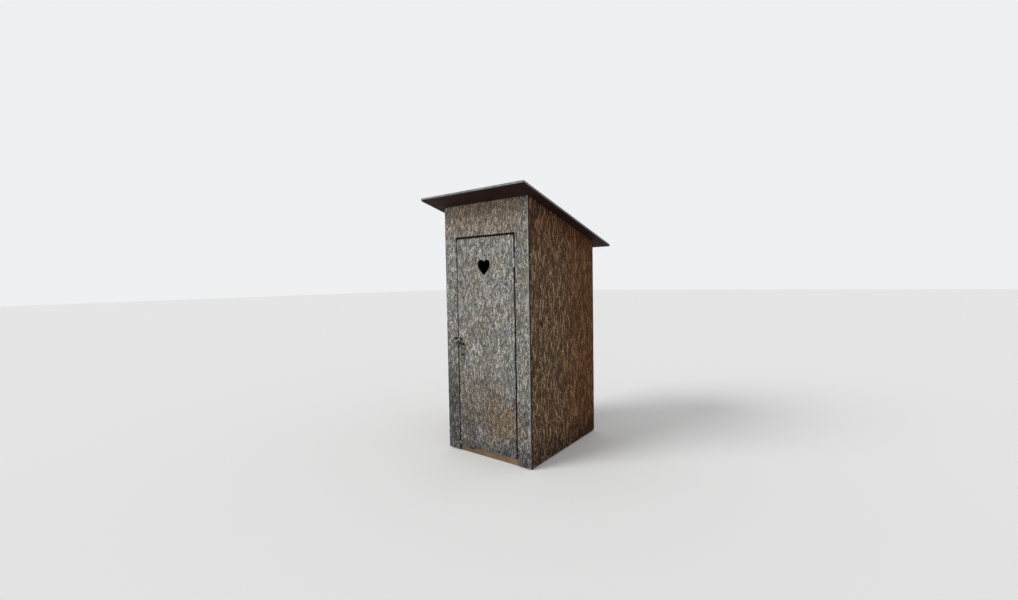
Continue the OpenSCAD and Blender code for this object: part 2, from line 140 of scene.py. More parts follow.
# Node trees
class Tree:
    """Short calls that add nodes to a node tree and wire them."""

    MIX_SOCKETS = {"FLOAT": (2, 3, 0), "VECTOR": (4, 5, 1), "RGBA": (6, 7, 2)}

    def __init__(self, tree):
        self.tree = tree

    def feed(self, socket, value):
        if isinstance(value, bpy.types.NodeSocket):
            self.tree.links.new(value, socket)
        elif value is not None:
            socket.default_value = value

    def add(self, kind, inputs=(), **settings):
        made = self.tree.nodes.new(kind)
        for name, value in settings.items():
            setattr(made, name, value)
        for name, value in dict(inputs).items():
            self.feed(made.inputs[name], value)
        return made

    def give(self, **outputs):
        for name, value in outputs.items():
            self.feed(self.result[name], value)
        return self

    def math(self, operation, *values, clamp=False):
        made = self.add("ShaderNodeMath", operation=operation, use_clamp=clamp)
        for socket, value in zip(made.inputs, values):
            self.feed(socket, value)
        return made.outputs[0]

    def times(self, first, second, clamp=False):
        return self.math("MULTIPLY", first, second, clamp=clamp)

    def scaled(self, value, factor, offset, clamp=False):
        return self.math("MULTIPLY_ADD", value, factor, offset, clamp=clamp)

    def plus(self, first, second):
        return self.math("ADD", first, second)

    def minus(self, first, second):
        return self.math("SUBTRACT", first, second)

    def over(self, first, second):
        return self.math("DIVIDE", first, second)

    def most(self, first, *others):
        for other in others:
            first = self.math("MAXIMUM", first, other)
        return first

    def vector(self, operation, *values, output="Vector"):
        made = self.add("ShaderNodeVectorMath", operation=operation)
        for socket, value in zip(made.inputs, values):
            self.feed(socket, value)
        return made.outputs[output]

    def mix(self, kind, factor, first, second, blend="MIX"):
        made = self.add("ShaderNodeMix", data_type=kind, clamp_factor=True)
        if kind == "RGBA":
            made.blend_type = blend
        low, high, out = self.MIX_SOCKETS[kind]
        self.feed(made.inputs[0], factor)
        self.feed(made.inputs[low], first)
        self.feed(made.inputs[high], second)
        return made.outputs[out]

    def colour(self, factor, first, second):
        return self.mix("RGBA", factor, first, second)

    def tinted(self, colour, tint, share=1.0):
        return self.mix("RGBA", share, colour, tint, "MULTIPLY")

    def ramp(self, value, low, high, start=0.0, end=1.0, smooth=True):
        kind = "SMOOTHSTEP" if smooth else "LINEAR"
        inputs = {"Value": value, "From Min": low, "From Max": high, "To Min": start, "To Max": end}
        return self.add("ShaderNodeMapRange", inputs, interpolation_type=kind).outputs[0]

    def fade(self, value, low, high, most=1.0):
        """Falls from most to nothing between low and high."""
        return self.ramp(value, low, high, most, 0.0)

    def geo(self, kind, output=0, **inputs):
        """Adds a geometry node and gives an output; underscores in an input's name stand for spaces."""
        given = {name.replace("_", " "): value for name, value in inputs.items()}
        return self.add("GeometryNode" + kind, given).outputs[output]

    def split(self, vector):
        return self.add("ShaderNodeSeparateXYZ", {"Vector": vector}).outputs

    def join(self, x=0.0, y=0.0, z=0.0):
        return self.add("ShaderNodeCombineXYZ", {"X": x, "Y": y, "Z": z}).outputs[0]

    def stretch(self, vector, scale):
        return self.vector("MULTIPLY", vector, scale)

    def noise(self, vector, scale=1.0, detail=2.0, roughness=0.5):
        inputs = {"Vector": vector, "Scale": scale, "Detail": detail, "Roughness": roughness}
        return self.add("ShaderNodeTexNoise", inputs).outputs["Fac"]

    def chance(self, vector, output="Value"):
        made = self.add("ShaderNodeTexWhiteNoise", {"Vector": vector}, noise_dimensions="3D")
        return made.outputs[output]

    def channels(self, colour):
        return self.add("ShaderNodeSeparateColor", {"Color": colour}).outputs

    def grey(self, value):
        return self.add("ShaderNodeCombineColor", {"Red": value, "Green": value, "Blue": value}).outputs[0]

    def wobble(self, vector, scale, reach, detail=1.0):
        made = self.add("ShaderNodeTexNoise", {"Vector": vector, "Scale": scale, "Detail": detail})
        c = self.channels(made.outputs["Color"])
        return self.vector("MULTIPLY_ADD", self.join(c["Red"], c["Green"], c["Blue"]), reach, vector)


SOCKETS = {
    "value": "NodeSocketFloat", "vector": "NodeSocketVector", "colour": "NodeSocketColor",
    "geometry": "NodeSocketGeometry", "count": "NodeSocketInt", "material": "NodeSocketMaterial",
    "object": "NodeSocketObject",
}


def new_group(name, kind, takes, gives):
    """A node group whose sockets are named by words such as 'vector Place, Size; value Turn'."""
    tree = bpy.data.node_groups.new(name, kind)
    for in_out, listed in (("INPUT", takes), ("OUTPUT", gives)):
        for row in listed.split("; "):
            socket_kind, labels = row.split(" ", 1)
            for label in labels.split(", "):
                tree.interface.new_socket(label, in_out=in_out, socket_type=SOCKETS[socket_kind])
    made = Tree(tree)
    made.given = made.add("NodeGroupInput").outputs
    made.result = made.add("NodeGroupOutput").inputs
    return made


def shader_group(name, takes, gives):
    return new_group(name, "ShaderNodeTree", takes, gives)


def use(t, group, **inputs):
    """Places a shader group in a tree; an input's name has its spaces written as underscores."""
    made = t.add("ShaderNodeGroup", node_tree=group.tree)
    for name, value in inputs.items():
        t.feed(made.inputs[name.replace("_", " ")], value)
    return made.outputs


def srgb(red, green, blue):
    """A linear colour from the levels of 0 to 255 that a picture shows."""
    def linear(level):
        share = level / 255
        return share / 12.92 if share <= 0.04045 else ((share + 0.055) / 1.055) ** 2.4
    return (linear(red), linear(green), linear(blue), 1.0)


# Effects that several materials share
def make_strand_layer():
    """One layer of strands: where it shows a strand, that strand covers what lies below."""
    takes = ("vector Place, Grain Below; value Turn, Length, Width, Cover, Seed, Border Below; "
             "colour Traits Below")
    t = shader_group("Strand layer", takes, "vector Grain; colour Traits; value Border")
    g = t.given
    inputs = {"Vector": g["Place"], "Angle": g["Turn"]}
    turned = t.split(t.add("ShaderNodeVectorRotate", inputs, rotation_type="Z_AXIS").outputs[0])
    across = t.over(turned["X"], g["Width"])
    row = t.math("FLOOR", across)
    shift = t.chance(t.join(row, g["Seed"], 7.0))
    along = t.scaled(shift, 5.0, t.over(turned["Y"], g["Length"]))
    spot = t.join(row, t.math("FLOOR", along), g["Seed"])
    traits = t.chance(spot, "Color")
    side_gap = t.times(t.math("PINGPONG", across, 0.5), g["Width"])
    end_gap = t.times(t.math("PINGPONG", along, 0.5), g["Length"])
    taper = t.times(t.ramp(end_gap, 0.0, 0.016, 0.42, 0.0, smooth=False), g["Width"])
    border = t.math("MINIMUM", t.minus(side_gap, taper), end_gap)
    shown = t.times(t.math("LESS_THAN", t.chance(spot), g["Cover"]),
                   t.math("GREATER_THAN", border, 0.0))
    offset = t.times(t.channels(traits)["Green"], 40.0)
    grain = t.join(turned["X"], turned["Y"], offset)
    return t.give(Grain=t.mix("VECTOR", shown, g["Grain Below"], grain),
                  Traits=t.colour(shown, g["Traits Below"], traits),
                  Border=t.mix("FLOAT", shown, g["Border Below"], border))


# Turn in degrees, length and width in metres, and the share of its places that a layer fills
STRAND_LAYERS = [
    (6, 0.090, 0.008, 1.00), (-40, 0.075, 0.007, 0.48), (28, 0.080, 0.007, 0.45), (-18, 0.070, 0.006, 0.45),
    (58, 0.060, 0.006, 0.36), (-6, 0.075, 0.005, 0.42), (-60, 0.055, 0.005, 0.34), (18, 0.065, 0.005, 0.40),
]


def make_strand_board(layer):
    """Flat strands pressed into a sheet, seen at a place on the sheet's plane."""
    t = shader_group("Strand board", "vector Place", "colour Traits; value Fibre, Border")
    bend = t.wobble(t.given["Place"], 7.0, (0.004, 0.004, 0.0))
    # Places that no strand covers keep a Border of 0, so they take the painted crevice shade too
    below = {"Grain": bend, "Traits": (0.2, 0.15, 0.3, 1.0), "Border": 0.0}
    for i, (turn, length, width, cover) in enumerate(STRAND_LAYERS):
        # An unseen share of the layer below makes the renderer take the layers in turn, which saves its stack
        place = t.vector("MULTIPLY_ADD", below["Grain"], (1e-7, 1e-7, 0.0), bend)
        below = use(t, layer, Place=place, Turn=math.radians(turn), Length=length, Width=width, Cover=cover,
                    Seed=3.0 + 11.0 * i, Grain_Below=below["Grain"], Traits_Below=below["Traits"],
                    Border_Below=below["Border"])
    fine = t.noise(t.stretch(below["Grain"], (1100.0, 26.0, 1.0)), detail=1.5)
    bands = t.noise(t.stretch(below["Grain"], (230.0, 9.0, 1.0)), detail=1.0)
    return t.give(Traits=below["Traits"], Fibre=t.mix("FLOAT", 0.55, fine, bands), Border=below["Border"])


def make_board_finish():
    """Colour and relief of weathered strands: grey where Brown is 0, warm where it is 1."""
    takes = ("value Fibre, Border, Brown, Damp, Bleach, Lift, Pale From; "
             "colour Traits, Tint, Dark, Middle, Pale, Warm Dark, Warm Pale")
    t = shader_group("Board finish", takes, "colour Color; value Height")
    g = t.given
    traits = t.channels(g["Traits"])
    tone, hue = traits["Green"], traits["Blue"]
    tone = t.scaled(tone, t.minus(1.0, g["Lift"]), g["Lift"])
    grey = t.colour(t.ramp(tone, 0.0, 0.22, smooth=False), g["Dark"], g["Middle"])
    pale = t.ramp(t.minus(tone, g["Pale From"]), 0.0, 0.12, smooth=False)
    grey = t.colour(pale, grey, g["Pale"])
    warm = t.colour(t.mix("FLOAT", 0.65, tone, pale), g["Warm Dark"], g["Warm Pale"])
    share = t.plus(t.ramp(hue, 0.6, 1.0, 0.0, 0.3), t.times(g["Brown"], 0.9))
    share = t.times(share, t.ramp(hue, 0.0, 0.6, 0.5, 1.1), clamp=True)
    colour = t.colour(share, grey, warm)
    colour = t.tinted(colour, g["Tint"])
    streak = t.ramp(g["Fibre"], 0.3, 0.7, 0.62, 1.33, smooth=False)
    streak = t.times(streak, t.ramp(tone, 0.0, 0.12, 0.50, 1.0))
    colour = t.tinted(colour, t.grey(streak))
    # Bleaching and painted highlights turn the colour pale
    colour = t.colour(t.times(g["Bleach"], 0.7), colour, srgb(176, 174, 172))
    # Strand borders are painted dark as the shade in the crevices between strands; the same mask also sinks
    # the relief there
    crevice_shade = t.fade(g["Border"], 0.0, 0.0012)
    colour = t.colour(t.times(crevice_shade, 0.68), colour, srgb(32, 28, 25))
    # Damp and painted shade darken the colour and cool it
    wet = t.times(g["Damp"], t.ramp(pale, 0.0, 1.0, 0.84, 0.66))
    colour = t.tinted(colour, srgb(96, 98, 104), wet)
    relief = t.scaled(tone, 0.35, t.times(g["Fibre"], 0.30))
    relief = t.minus(relief, t.times(crevice_shade, 0.55))
    return t.give(Color=colour, Height=relief)


def make_patch():
    """A soft-edged, ragged ellipse on a plane: 1 in the middle, 0 outside."""
    t = shader_group("Patch", "vector Place, Centre, Size; value Turn, Ragged, Grain Scale", "value Mask")
    g = t.given
    offset = t.vector("SUBTRACT", g["Place"], g["Centre"])
    inputs = {"Vector": offset, "Angle": g["Turn"]}
    offset = t.add("ShaderNodeVectorRotate", inputs, rotation_type="Z_AXIS").outputs[0]
    distance = t.vector("LENGTH", t.vector("DIVIDE", offset, g["Size"]), output="Value")
    rough = t.minus(t.noise(g["Place"], g["Grain Scale"], detail=4.0, roughness=0.6), 0.5)
    distance = t.scaled(rough, g["Ragged"], distance)
    return t.give(Mask=t.fade(distance, 0.35, 1.0))


def make_screw_stain():
    """Dark halo and run below each screw of a row that climbs a sheet."""
    t = shader_group("Screw stain", "vector Place; value Row, First, Spacing", "value Mask")
    g = t.given
    place = t.split(g["Place"])
    steps = t.over(t.minus(place["Y"], g["First"]), g["Spacing"])
    nearest = t.math("ROUND", steps)
    rise = t.times(t.minus(steps, nearest), g["Spacing"])
    aside = t.math("ABSOLUTE", t.minus(place["X"], g["Row"]))
    halo = t.fade(t.vector("LENGTH", t.join(aside, rise), output="Value"), 0.004, 0.011)
    length = t.scaled(t.chance(t.join(nearest, g["Row"])), 0.05, 0.02)
    fall = t.over(t.times(rise, -1.0), length)
    run = t.times(t.fade(fall, 0.0, 1.0), t.math("GREATER_THAN", fall, 0.0))
    run = t.times(run, t.fade(aside, 0.001, 0.0055, 0.7))
    return t.give(Mask=t.most(halo, run))


def make_cut_edge():
    """Sawn edge of a strand board: thin strands seen end on, in layers through the sheet."""
    t = shader_group("Cut edge", "value Along, Depth; colour Dark, Pale", "colour Color; value Height")
    g = t.given
    place = t.join(t.times(g["Along"], 55.0), t.times(g["Depth"], 1300.0), 0.0)
    layers = t.noise(place, detail=2.0, roughness=0.7)
    soil = t.noise(t.join(t.times(g["Along"], 14.0), 0.0, 0.0), detail=3.0)
    tone = t.ramp(layers, 0.36, 0.62)
    colour = t.colour(tone, g["Dark"], g["Pale"])
    colour = t.colour(t.ramp(soil, 0.45, 0.7, 0.0, 0.6), colour, srgb(92, 86, 80))
    return t.give(Color=colour, Height=tone)


def make_sawn_timber():
    """Softwood with growth rings round an axis beside the timber; the grain runs along Z."""
    takes = "vector Place, Heart; colour Early, Late; value Soil"
    t = shader_group("Sawn timber", takes, "colour Color; value Height")
    g = t.given
    place = g["Place"]
    wander = t.wobble(t.stretch(place, (1.0, 1.0, 0.2)), 6.0, (0.02, 0.02, 0.0), detail=2.0)
    knot_place = t.stretch(place, (9.0, 9.0, 2.3))
    knots = t.add("ShaderNodeTexVoronoi", {"Vector": knot_place, "Randomness": 1.0})
    knot = t.fade(knots.outputs["Distance"], 0.05, 0.22)
    offset = t.vector("SUBTRACT", wander, g["Heart"])
    radius = t.vector("LENGTH", t.stretch(offset, (1.0, 1.0, 0.0)), output="Value")
    radius = t.scaled(knot, 0.012, radius)
    ring = t.math("FRACT", t.times(radius, 290.0))
    late = t.ramp(ring, 0.45, 0.95, smooth=False)
    late = t.times(late, t.ramp(ring, 0.95, 1.0, 1.0, 0.0, smooth=False))
    fibre = t.noise(t.stretch(place, (900.0, 900.0, 14.0)), detail=2.0)
    saw = t.noise(t.stretch(place, (3.0, 3.0, 320.0)), detail=1.0)
    colour = t.colour(late, g["Early"], g["Late"])
    colour = t.colour(t.times(knot, 0.75), colour, srgb(84, 54, 34))
    shade = t.ramp(fibre, 0.3, 0.7, 0.82, 1.1, smooth=False)
    colour = t.tinted(colour, t.grey(shade))
    soil = t.ramp(t.noise(place, 6.0, detail=5.0, roughness=0.65), 0.42, 0.7)
    colour = t.colour(t.times(soil, g["Soil"]), colour, srgb(78, 68, 57))
    height = t.scaled(fibre, 0.5, t.times(saw, 0.5))
    return t.give(Color=colour, Height=t.scaled(late, 0.2, height))


def make_rust():
    """Rust blooms on dark steel."""
    t = shader_group("Rust", "vector Place; value Amount; colour Steel", "colour Color; value Bare, Height")
    g = t.given
    blotch = t.noise(g["Place"], 90.0, detail=6.0, roughness=0.7)
    fine = t.noise(g["Place"], 900.0, detail=3.0, roughness=0.7)
    limit = t.minus(0.75, t.times(g["Amount"], 0.5))
    mask = t.ramp(t.minus(blotch, limit), -0.06, 0.08)
    rust = t.colour(t.ramp(fine, 0.35, 0.65), srgb(33, 23, 19), srgb(64, 42, 30))
    return t.give(Color=t.colour(mask, g["Steel"], rust), Bare=t.minus(1.0, mask),
                  Height=t.times(mask, t.scaled(fine, 0.7, 0.3)))


STRAND_LAYER = make_strand_layer()
STRAND_BOARD = make_strand_board(STRAND_LAYER)
BOARD_FINISH = make_board_finish()
PATCH = make_patch()
SCREW_STAIN = make_screw_stain()
CUT_EDGE = make_cut_edge()
SAWN_TIMBER = make_sawn_timber()
RUST = make_rust()

# Patches on the front: centre, size, strength, turn in degrees, raggedness and grain of the rim
FRONT_PATCHES = {
    "golden foot": ((0.15, 0.38), (0.30, 0.26), 0.80, 0, 1.6, 12),
    "lower door": ((-0.02, 0.48), (0.42, 0.44), 0.36, 0, 0.8, 12),
    "middle of door": ((-0.12, 1.16), (0.22, 0.24), 0.18, 0, 0.8, 12),
    "lower left": ((-0.20, 0.42), (0.16, 0.30), 0.50, 0, 0.8, 12),
    "below lock": ((-0.345, 0.985), (0.035, 0.060), 0.70, 0, 0.8, 12),
    "wet corner": ((-0.20, 0.28), (0.22, 0.30), 0.60, 0, 0.8, 12),
    "pale strip": ((0.452, 1.40), (0.022, 0.14), 1.00, 10, 0.7, 12),
    "below heart": ((0.01, 1.52), (0.05, 0.09), 0.35, -12, 0.8, 12),
    "heart rim": ((0.026, 1.685), (0.040, 0.034), 0.50, 50, 0.9, 12),
    "scratch": ((0.422, 0.237), (0.045, 0.004), 1.00, -28, 0.3, 60),
    # The door arris is a painted highlight along the top of the door's right edge
    "door arris": ((door_high.x - 0.008, 1.90), (0.011, 0.110), 0.90, 0, 0.5, 12),
    "handle run": ((-0.266, 0.855), (0.012, 0.075), 0.90, 0, 0.5, 40),
    "grip": ((-0.262, 0.970), (0.035, 0.085), 0.35, 0, 0.9, 25),
    "lock": ((-0.325, 1.020), (0.040, 0.050), 0.40, 0, 0.8, 30),
}
# Heights between which the weather of a face changes, and where the left strip and the walls under the eaves
# take painted shade
FRONT_SHELTER, FRONT_SPLASH, FRONT_DAMP = (1.90, 2.15), (0.14, 0.40), (0.45, 1.15)
STRIP_SHADE, LOCK_HEIGHT = (0.55, 1.02), (1.05, 1.15)
WALL_EAVE_SHADE, WALL_SPLASH = (1.80, 2.25), (0.10, 0.42)
# Half widths of the painted shade along the gaps beside the door: left below and above the lock, and right
LEFT_GAP_LOW, LEFT_GAP_HIGH, RIGHT_GAP = 0.0068, 0.0040, 0.0075


def weather_group(name):
    """A group that says where a face of sheets is brown, damp, bleached, stained and tinted, and where shade
    and highlights are painted on it.
    """
    return shader_group(name, "vector Place", "value Brown, Damp, Bleach, Stain; colour Tint")


def gap_shade(t, x, z, ragged):
    """Painted shade along the two gaps beside the door, wider on the left below the lock."""
    left_half = t.ramp(z, *LOCK_HEIGHT, LEFT_GAP_LOW, LEFT_GAP_HIGH)
    left_gap_shade = t.ramp(z, *LOCK_HEIGHT, 1.15, 0.95)
    gaps = (((-doorway_x + door_low.x) / 2, left_half, left_gap_shade),
            ((door_high.x + doorway_x) / 2, RIGHT_GAP, 0.95))
    for edge, half, most in gaps:
        aside = t.plus(t.math("ABSOLUTE", t.minus(x, edge)), ragged)
        # The band of painted shade beside one gap
        soil = t.fade(t.minus(aside, half), 0.0, 0.003, most)
        yield t.times(soil, t.math("LESS_THAN", z, doorway_top))


def screw_stains(t, place, x, screw_row):
    """Stains of a row of screws on both sides of a sheet's middle."""
    row, first, spacing = screw_row
    row = t.times(t.math("SIGN", x), row)
    return use(t, SCREW_STAIN, Place=place, Row=row, First=first, Spacing=spacing)["Mask"]


def make_front_weather():
    """Where the front is brown, damp, bleached and stained, and where shade and highlights are painted on it.
    """
    t = weather_group("Front weather")
    place = t.given["Place"]
    flat = t.split(place)
    x, z = flat["X"], flat["Y"]

    def patch(name):
        centre, size, strength, turn, ragged, grain = FRONT_PATCHES[name]
        mask = use(t, PATCH, Place=place, Centre=(*centre, 0.0), Size=(*size, 1.0), Turn=math.radians(turn),
                   Ragged=ragged, Grain_Scale=grain)["Mask"]
        return t.times(mask, strength)

    broad = t.noise(place, 2.6, detail=3.0)
    blotch = t.noise(place, 11.0, detail=4.0, roughness=0.6)
    strip = t.fade(x, -doorway_x - 0.02, -doorway_x + 0.005)
    under_eaves = t.times(t.ramp(z, *FRONT_SHELTER), t.ramp(x, 0.0, 0.35, 0.66, 0.36))
    brown = t.most(under_eaves, patch("golden foot"), patch("lower door"), patch("middle of door"),
                   patch("lower left"))
    brown = t.scaled(t.ramp(broad, 0.42, 0.66), 0.14, brown)
    brown = t.times(brown, t.scaled(strip, -0.6, 1.0), clamp=True)
    brown = t.most(brown, patch("below lock"))
    splash = t.fade(t.scaled(blotch, 0.14, z), *FRONT_SPLASH, 0.88)
    # The left strip is darker low down: painted shade, given in with the damp
    shaded = t.times(strip, t.fade(z, *STRIP_SHADE, 0.90))
    low = t.fade(t.scaled(blotch, 0.3, z), *FRONT_DAMP, 0.42)
    damp = t.most(splash, shaded, low, patch("wet corner"))
    damp = t.scaled(t.ramp(blotch, 0.5, 0.75), 0.08, damp)
    damp = t.scaled(strip, 0.04, damp, clamp=True)
    # A painted highlight along the door's right edge
    door_arris_highlight = patch("door arris")
    hut_corner = t.times(t.ramp(t.scaled(blotch, 0.006, x), half_w - 0.008, half_w - 0.003), 0.8)
    pale = t.most(patch("pale strip"), patch("below heart"), patch("heart rim"), patch("scratch"), door_arris_highlight,
                  hut_corner)
    stain = t.most(patch("handle run"), patch("grip"), patch("lock"))
    ragged = t.times(t.minus(t.noise(place, 40.0, detail=3.0), 0.5), 0.008)
    # The gaps' painted shade darkens the face beside them, but not the door's painted highlight
    for soil in gap_shade(t, x, z, ragged):
        stain = t.most(stain, t.minus(soil, door_arris_highlight))
    for screw_row in (JAMB_SCREWS, POST_SCREWS, BATTEN_SCREWS):
        stain = t.most(stain, screw_stains(t, place, x, screw_row))
    zone = t.ramp(t.noise(t.vector("ADD", place, (7.0, 3.0, 0.0)), 5.0, detail=3.0), 0.38, 0.62)
    tint = t.colour(zone, (0.97, 0.985, 1.02, 1.0), (1.04, 1.01, 0.95, 1.0))
    rosy = t.ramp(t.noise(t.vector("ADD", place, (2.0, 9.0, 0.0)), 15.0, detail=2.0), 0.35, 0.65)
    rosy = t.colour(rosy, (0.97, 1.01, 0.97, 1.0), (1.03, 0.99, 1.02, 1.0))
    tint = t.tinted(tint, rosy)
    return t.give(Brown=brown, Damp=damp, Bleach=pale, Stain=stain, Tint=tint)


def make_wall_weather():
    """Where the stained side and back walls are warm, damp, worn pale and marked by screws, and where shade
    is painted under the eaves and towards the far end.
    """
    t = weather_group("Wall weather")
    place = t.given["Place"]
    flat = t.split(place)
    broad = t.noise(place, 2.2, detail=3.0)
    blotch = t.noise(place, 9.0, detail=4.0, roughness=0.6)
    brown = t.ramp(t.scaled(broad, 0.9, t.times(flat["X"], 0.5)), 0.1, 0.9, 0.45, 1.0)
    splash = t.fade(t.scaled(blotch, 0.16, flat["Y"]), *WALL_SPLASH, 0.75)
    damp = t.scaled(t.ramp(blotch, 0.5, 0.75), 0.30, splash, clamp=True)
    worn = t.ramp(t.noise(t.stretch(place, (40.0, 4.0, 1.0)), detail=4.0), 0.56, 0.74, 0.0, 0.14)
    stain = screw_stains(t, place, flat["X"], SIDE_SCREWS)
    joint = t.ramp(t.math("ABSOLUTE", flat["X"]), half_d - 0.024, half_d - 0.019, 0.0, 0.85)
    # Darker and redder towards the far end: painted shadow, with a redder stain
    far = t.ramp(t.scaled(broad, 0.5, flat["X"]), 0.0, 0.65)
    tint = t.colour(far, WHITE, (0.78, 0.56, 0.38, 1.0))
    # Darker and redder under the eaves: painted shade of the roof, with a redder stain
    under_eaves = t.ramp(t.scaled(blotch, 0.2, flat["Y"]), *WALL_EAVE_SHADE)
    tint = t.tinted(tint, (0.82, 0.62, 0.55, 1.0), under_eaves)
    return t.give(Brown=brown, Damp=damp, Bleach=worn, Stain=t.most(stain, joint), Tint=tint)


def make_floor_weather():
    """Where the floor is trodden dark: by the door, and in blotches."""
    t = weather_group("Floor weather")
    place = t.given["Place"]
    blotch = t.noise(place, 5.0, detail=5.0, roughness=0.65)
    near = t.fade(t.scaled(blotch, 0.4, t.split(place)["Y"]), -0.45, 0.25, 0.75)
    damp = t.scaled(t.ramp(blotch, 0.45, 0.7), 0.3, near, clamp=True)
    tint = t.colour(blotch, (0.80, 0.78, 0.76, 1.0), WHITE)
    return t.give(Brown=t.times(blotch, 0.6), Damp=damp, Tint=tint)


FRONT_WEATHER = make_front_weather()
WALL_WEATHER = make_wall_weather()
FLOOR_WEATHER = make_floor_weather()


# Materials
class Finish(Tree):
    """A material with one Principled shader."""

    def __init__(self, name):
        self.material = bpy.data.materials.new(name)
        self.material.use_nodes = True
        super().__init__(self.material.node_tree)
        self.shader = self.tree.nodes["Principled BSDF"]
        self.place = self.add("ShaderNodeTexCoord").outputs

    def shade(self, **inputs):
        for name, value in inputs.items():
            self.feed(self.shader.inputs[name.replace("_", " ")], value)

    def bumped(self, height, distance):
        """Lays a relief on the surface and gives the finished material."""
        inputs = {"Height": height, "Distance": distance, "Strength": 1.0}
        self.shade(Normal=self.add("ShaderNodeBump", inputs).outputs[0])
        return self.material


# Axes across, along and through a sheet
SHEET_AXES = {"front": "XZY", "side": "YZX", "flat": "XYZ"}


def sheet_place(t, plane):
    """Place on a sheet, depth through it, how much a surface faces out of the sheet, and whether outwards."""
    across, along, through = SHEET_AXES[plane]
    place = t.split(t.place["Object"])
    normal = t.split(t.place["Normal"])
    facing = t.times(normal[through], t.math("SIGN", place[through]))
    return SimpleNamespace(
        flat=t.join(place[across], place[along]), depth=place[through],
        rim=t.plus(place[across], place[along]),
        face=t.ramp(t.math("ABSOLUTE", facing), 0.35, 0.75), outside=t.math("GREATER_THAN", facing, 0.0),
    )


FRONT_COLOURS = {
    "Dark": srgb(42, 41, 40), "Middle": srgb(104, 104, 100), "Pale": srgb(228, 226, 221),
    "Warm_Dark": srgb(68, 54, 43), "Warm_Pale": srgb(208, 175, 138), "Pale_From": 0.73,
}
WALL_COLOURS = {
    "Dark": srgb(34, 24, 16), "Middle": srgb(70, 54, 40), "Pale": srgb(214, 186, 151),
    "Warm_Dark": srgb(40, 27, 18), "Warm_Pale": srgb(194, 152, 108), "Pale_From": 0.77,
}
INSIDE_COLOURS = {
    "Dark": srgb(104, 84, 61), "Middle": srgb(156, 133, 101), "Pale": srgb(202, 181, 146),
    "Warm_Dark": srgb(108, 75, 49), "Warm_Pale": srgb(188, 148, 104), "Pale_From": 0.45,
}
# Cut edges are almost black: dirt, and painted shade for the edges seen in the gaps and the heart
EDGE_DIRT_AND_SHADE_COLOURS = {"Dark": srgb(15, 12, 11), "Pale": srgb(46, 38, 33)}
# Dark brown of stains and of painted shade
STAIN_AND_SHADE_BROWN = srgb(36, 29, 25)
# Share of brown strands on the raw inner faces
INSIDE_BROWN = 0.35
# Specular level of a plain sheet and of a stained wall
SHEET_SHINE, WALL_SHINE = 0.30, 0.10


def board_finish(t, flat, strands, weather, colours, lift=0.0):
    """Finished colour and relief of strands on a weathered face."""
    zones = use(t, weather, Place=flat)
    done = use(t, BOARD_FINISH, Traits=strands["Traits"], Fibre=strands["Fibre"], Border=strands["Border"],
               Brown=zones["Brown"], Damp=zones["Damp"], Bleach=zones["Bleach"], Tint=zones["Tint"],
               Lift=lift, **colours)
    # Stains and the painted shade along the door gaps turn the colour towards a dark brown
    stained = t.times(zones["Stain"], 0.85, clamp=True)
    return t.colour(stained, done["Color"], STAIN_AND_SHADE_BROWN), done["Height"]


def board_material(name, plane, weather, colours, shine=SHEET_SHINE, strand_size=(1.0, 1.0)):
    """A sheet of strand board: weathered outside, raw inside, layered at its cut edges."""
    t = Finish(name)
    s = sheet_place(t, plane)
    strands = use(t, STRAND_BOARD, Place=t.vector("DIVIDE", s.flat, (*strand_size, 1.0)))
    outside, relief = board_finish(t, s.flat, strands, weather, colours)
    inside = use(t, BOARD_FINISH, Traits=strands["Traits"], Fibre=strands["Fibre"], Border=strands["Border"],
                 Brown=INSIDE_BROWN, Tint=WHITE, **INSIDE_COLOURS)
    edge = use(t, CUT_EDGE, Along=s.rim, Depth=s.depth, **EDGE_DIRT_AND_SHADE_COLOURS)
    face = t.colour(s.outside, inside["Color"], outside)
    t.shade(Base_Color=t.colour(s.face, edge["Color"], face), Specular_IOR_Level=shine,
            Roughness=t.ramp(strands["Fibre"], 0.3, 0.7, 0.92, 0.80))
    return t.bumped(t.mix("FLOAT", s.face, edge["Height"], relief), 0.0011)


def flake_material(name, plane, weather, colours, shine=SHEET_SHINE):
    """Raised strands on a sheet, each with the traits that its mesh carries."""
    t = Finish(name)
    s = sheet_place(t, plane)
    traits = t.add("ShaderNodeAttribute", attribute_name="strand_traits").outputs
    grain = t.add("ShaderNodeAttribute", attribute_name="strand_grain").outputs["Vector"]
    grain = t.vector("MULTIPLY_ADD", traits["Vector"], (0.0, 0.0, 40.0), grain)
    fine = t.noise(t.stretch(grain, (26.0, 1100.0, 1.0)), detail=1.5)
    bands = t.noise(t.stretch(grain, (9.0, 330.0, 1.0)), detail=1.0)
    strands = {"Traits": traits["Color"], "Fibre": t.mix("FLOAT", 0.45, fine, bands), "Border": 0.01}
    colour, relief = board_finish(t, s.flat, strands, weather, colours, lift=0.22)
    t.shade(Base_Color=colour, Specular_IOR_Level=shine, Roughness=t.ramp(fine, 0.3, 0.7, 0.92, 0.80))
    return t.bumped(relief, 0.0008)


LONG_AXES = {"X": "YZX", "Y": "XZY", "Z": "XYZ"}
# Depths behind the front's outer face between which the painted shade on the frame ends
SHADE_STARTS, SHADE_ENDS = 0.044, 0.055


def shade_behind_gap(t, place):
    """Painted shade on the frame's front part, which the gaps round the door leave open."""
    return t.ramp(place["Y"], front_y + SHADE_ENDS, front_y + SHADE_STARTS, 0.0, 1.0)


def shade_at_door_edge(t, place):
    """Painted shade on the outer edges of the door's battens, which the gaps leave in view."""
    middle, half = (door_low.x + door_high.x) / 2, (door_high.x - door_low.x) / 2
    aside = t.math("ABSOLUTE", t.minus(place["X"], middle))
    return t.ramp(aside, half - 0.003, half - 0.001)


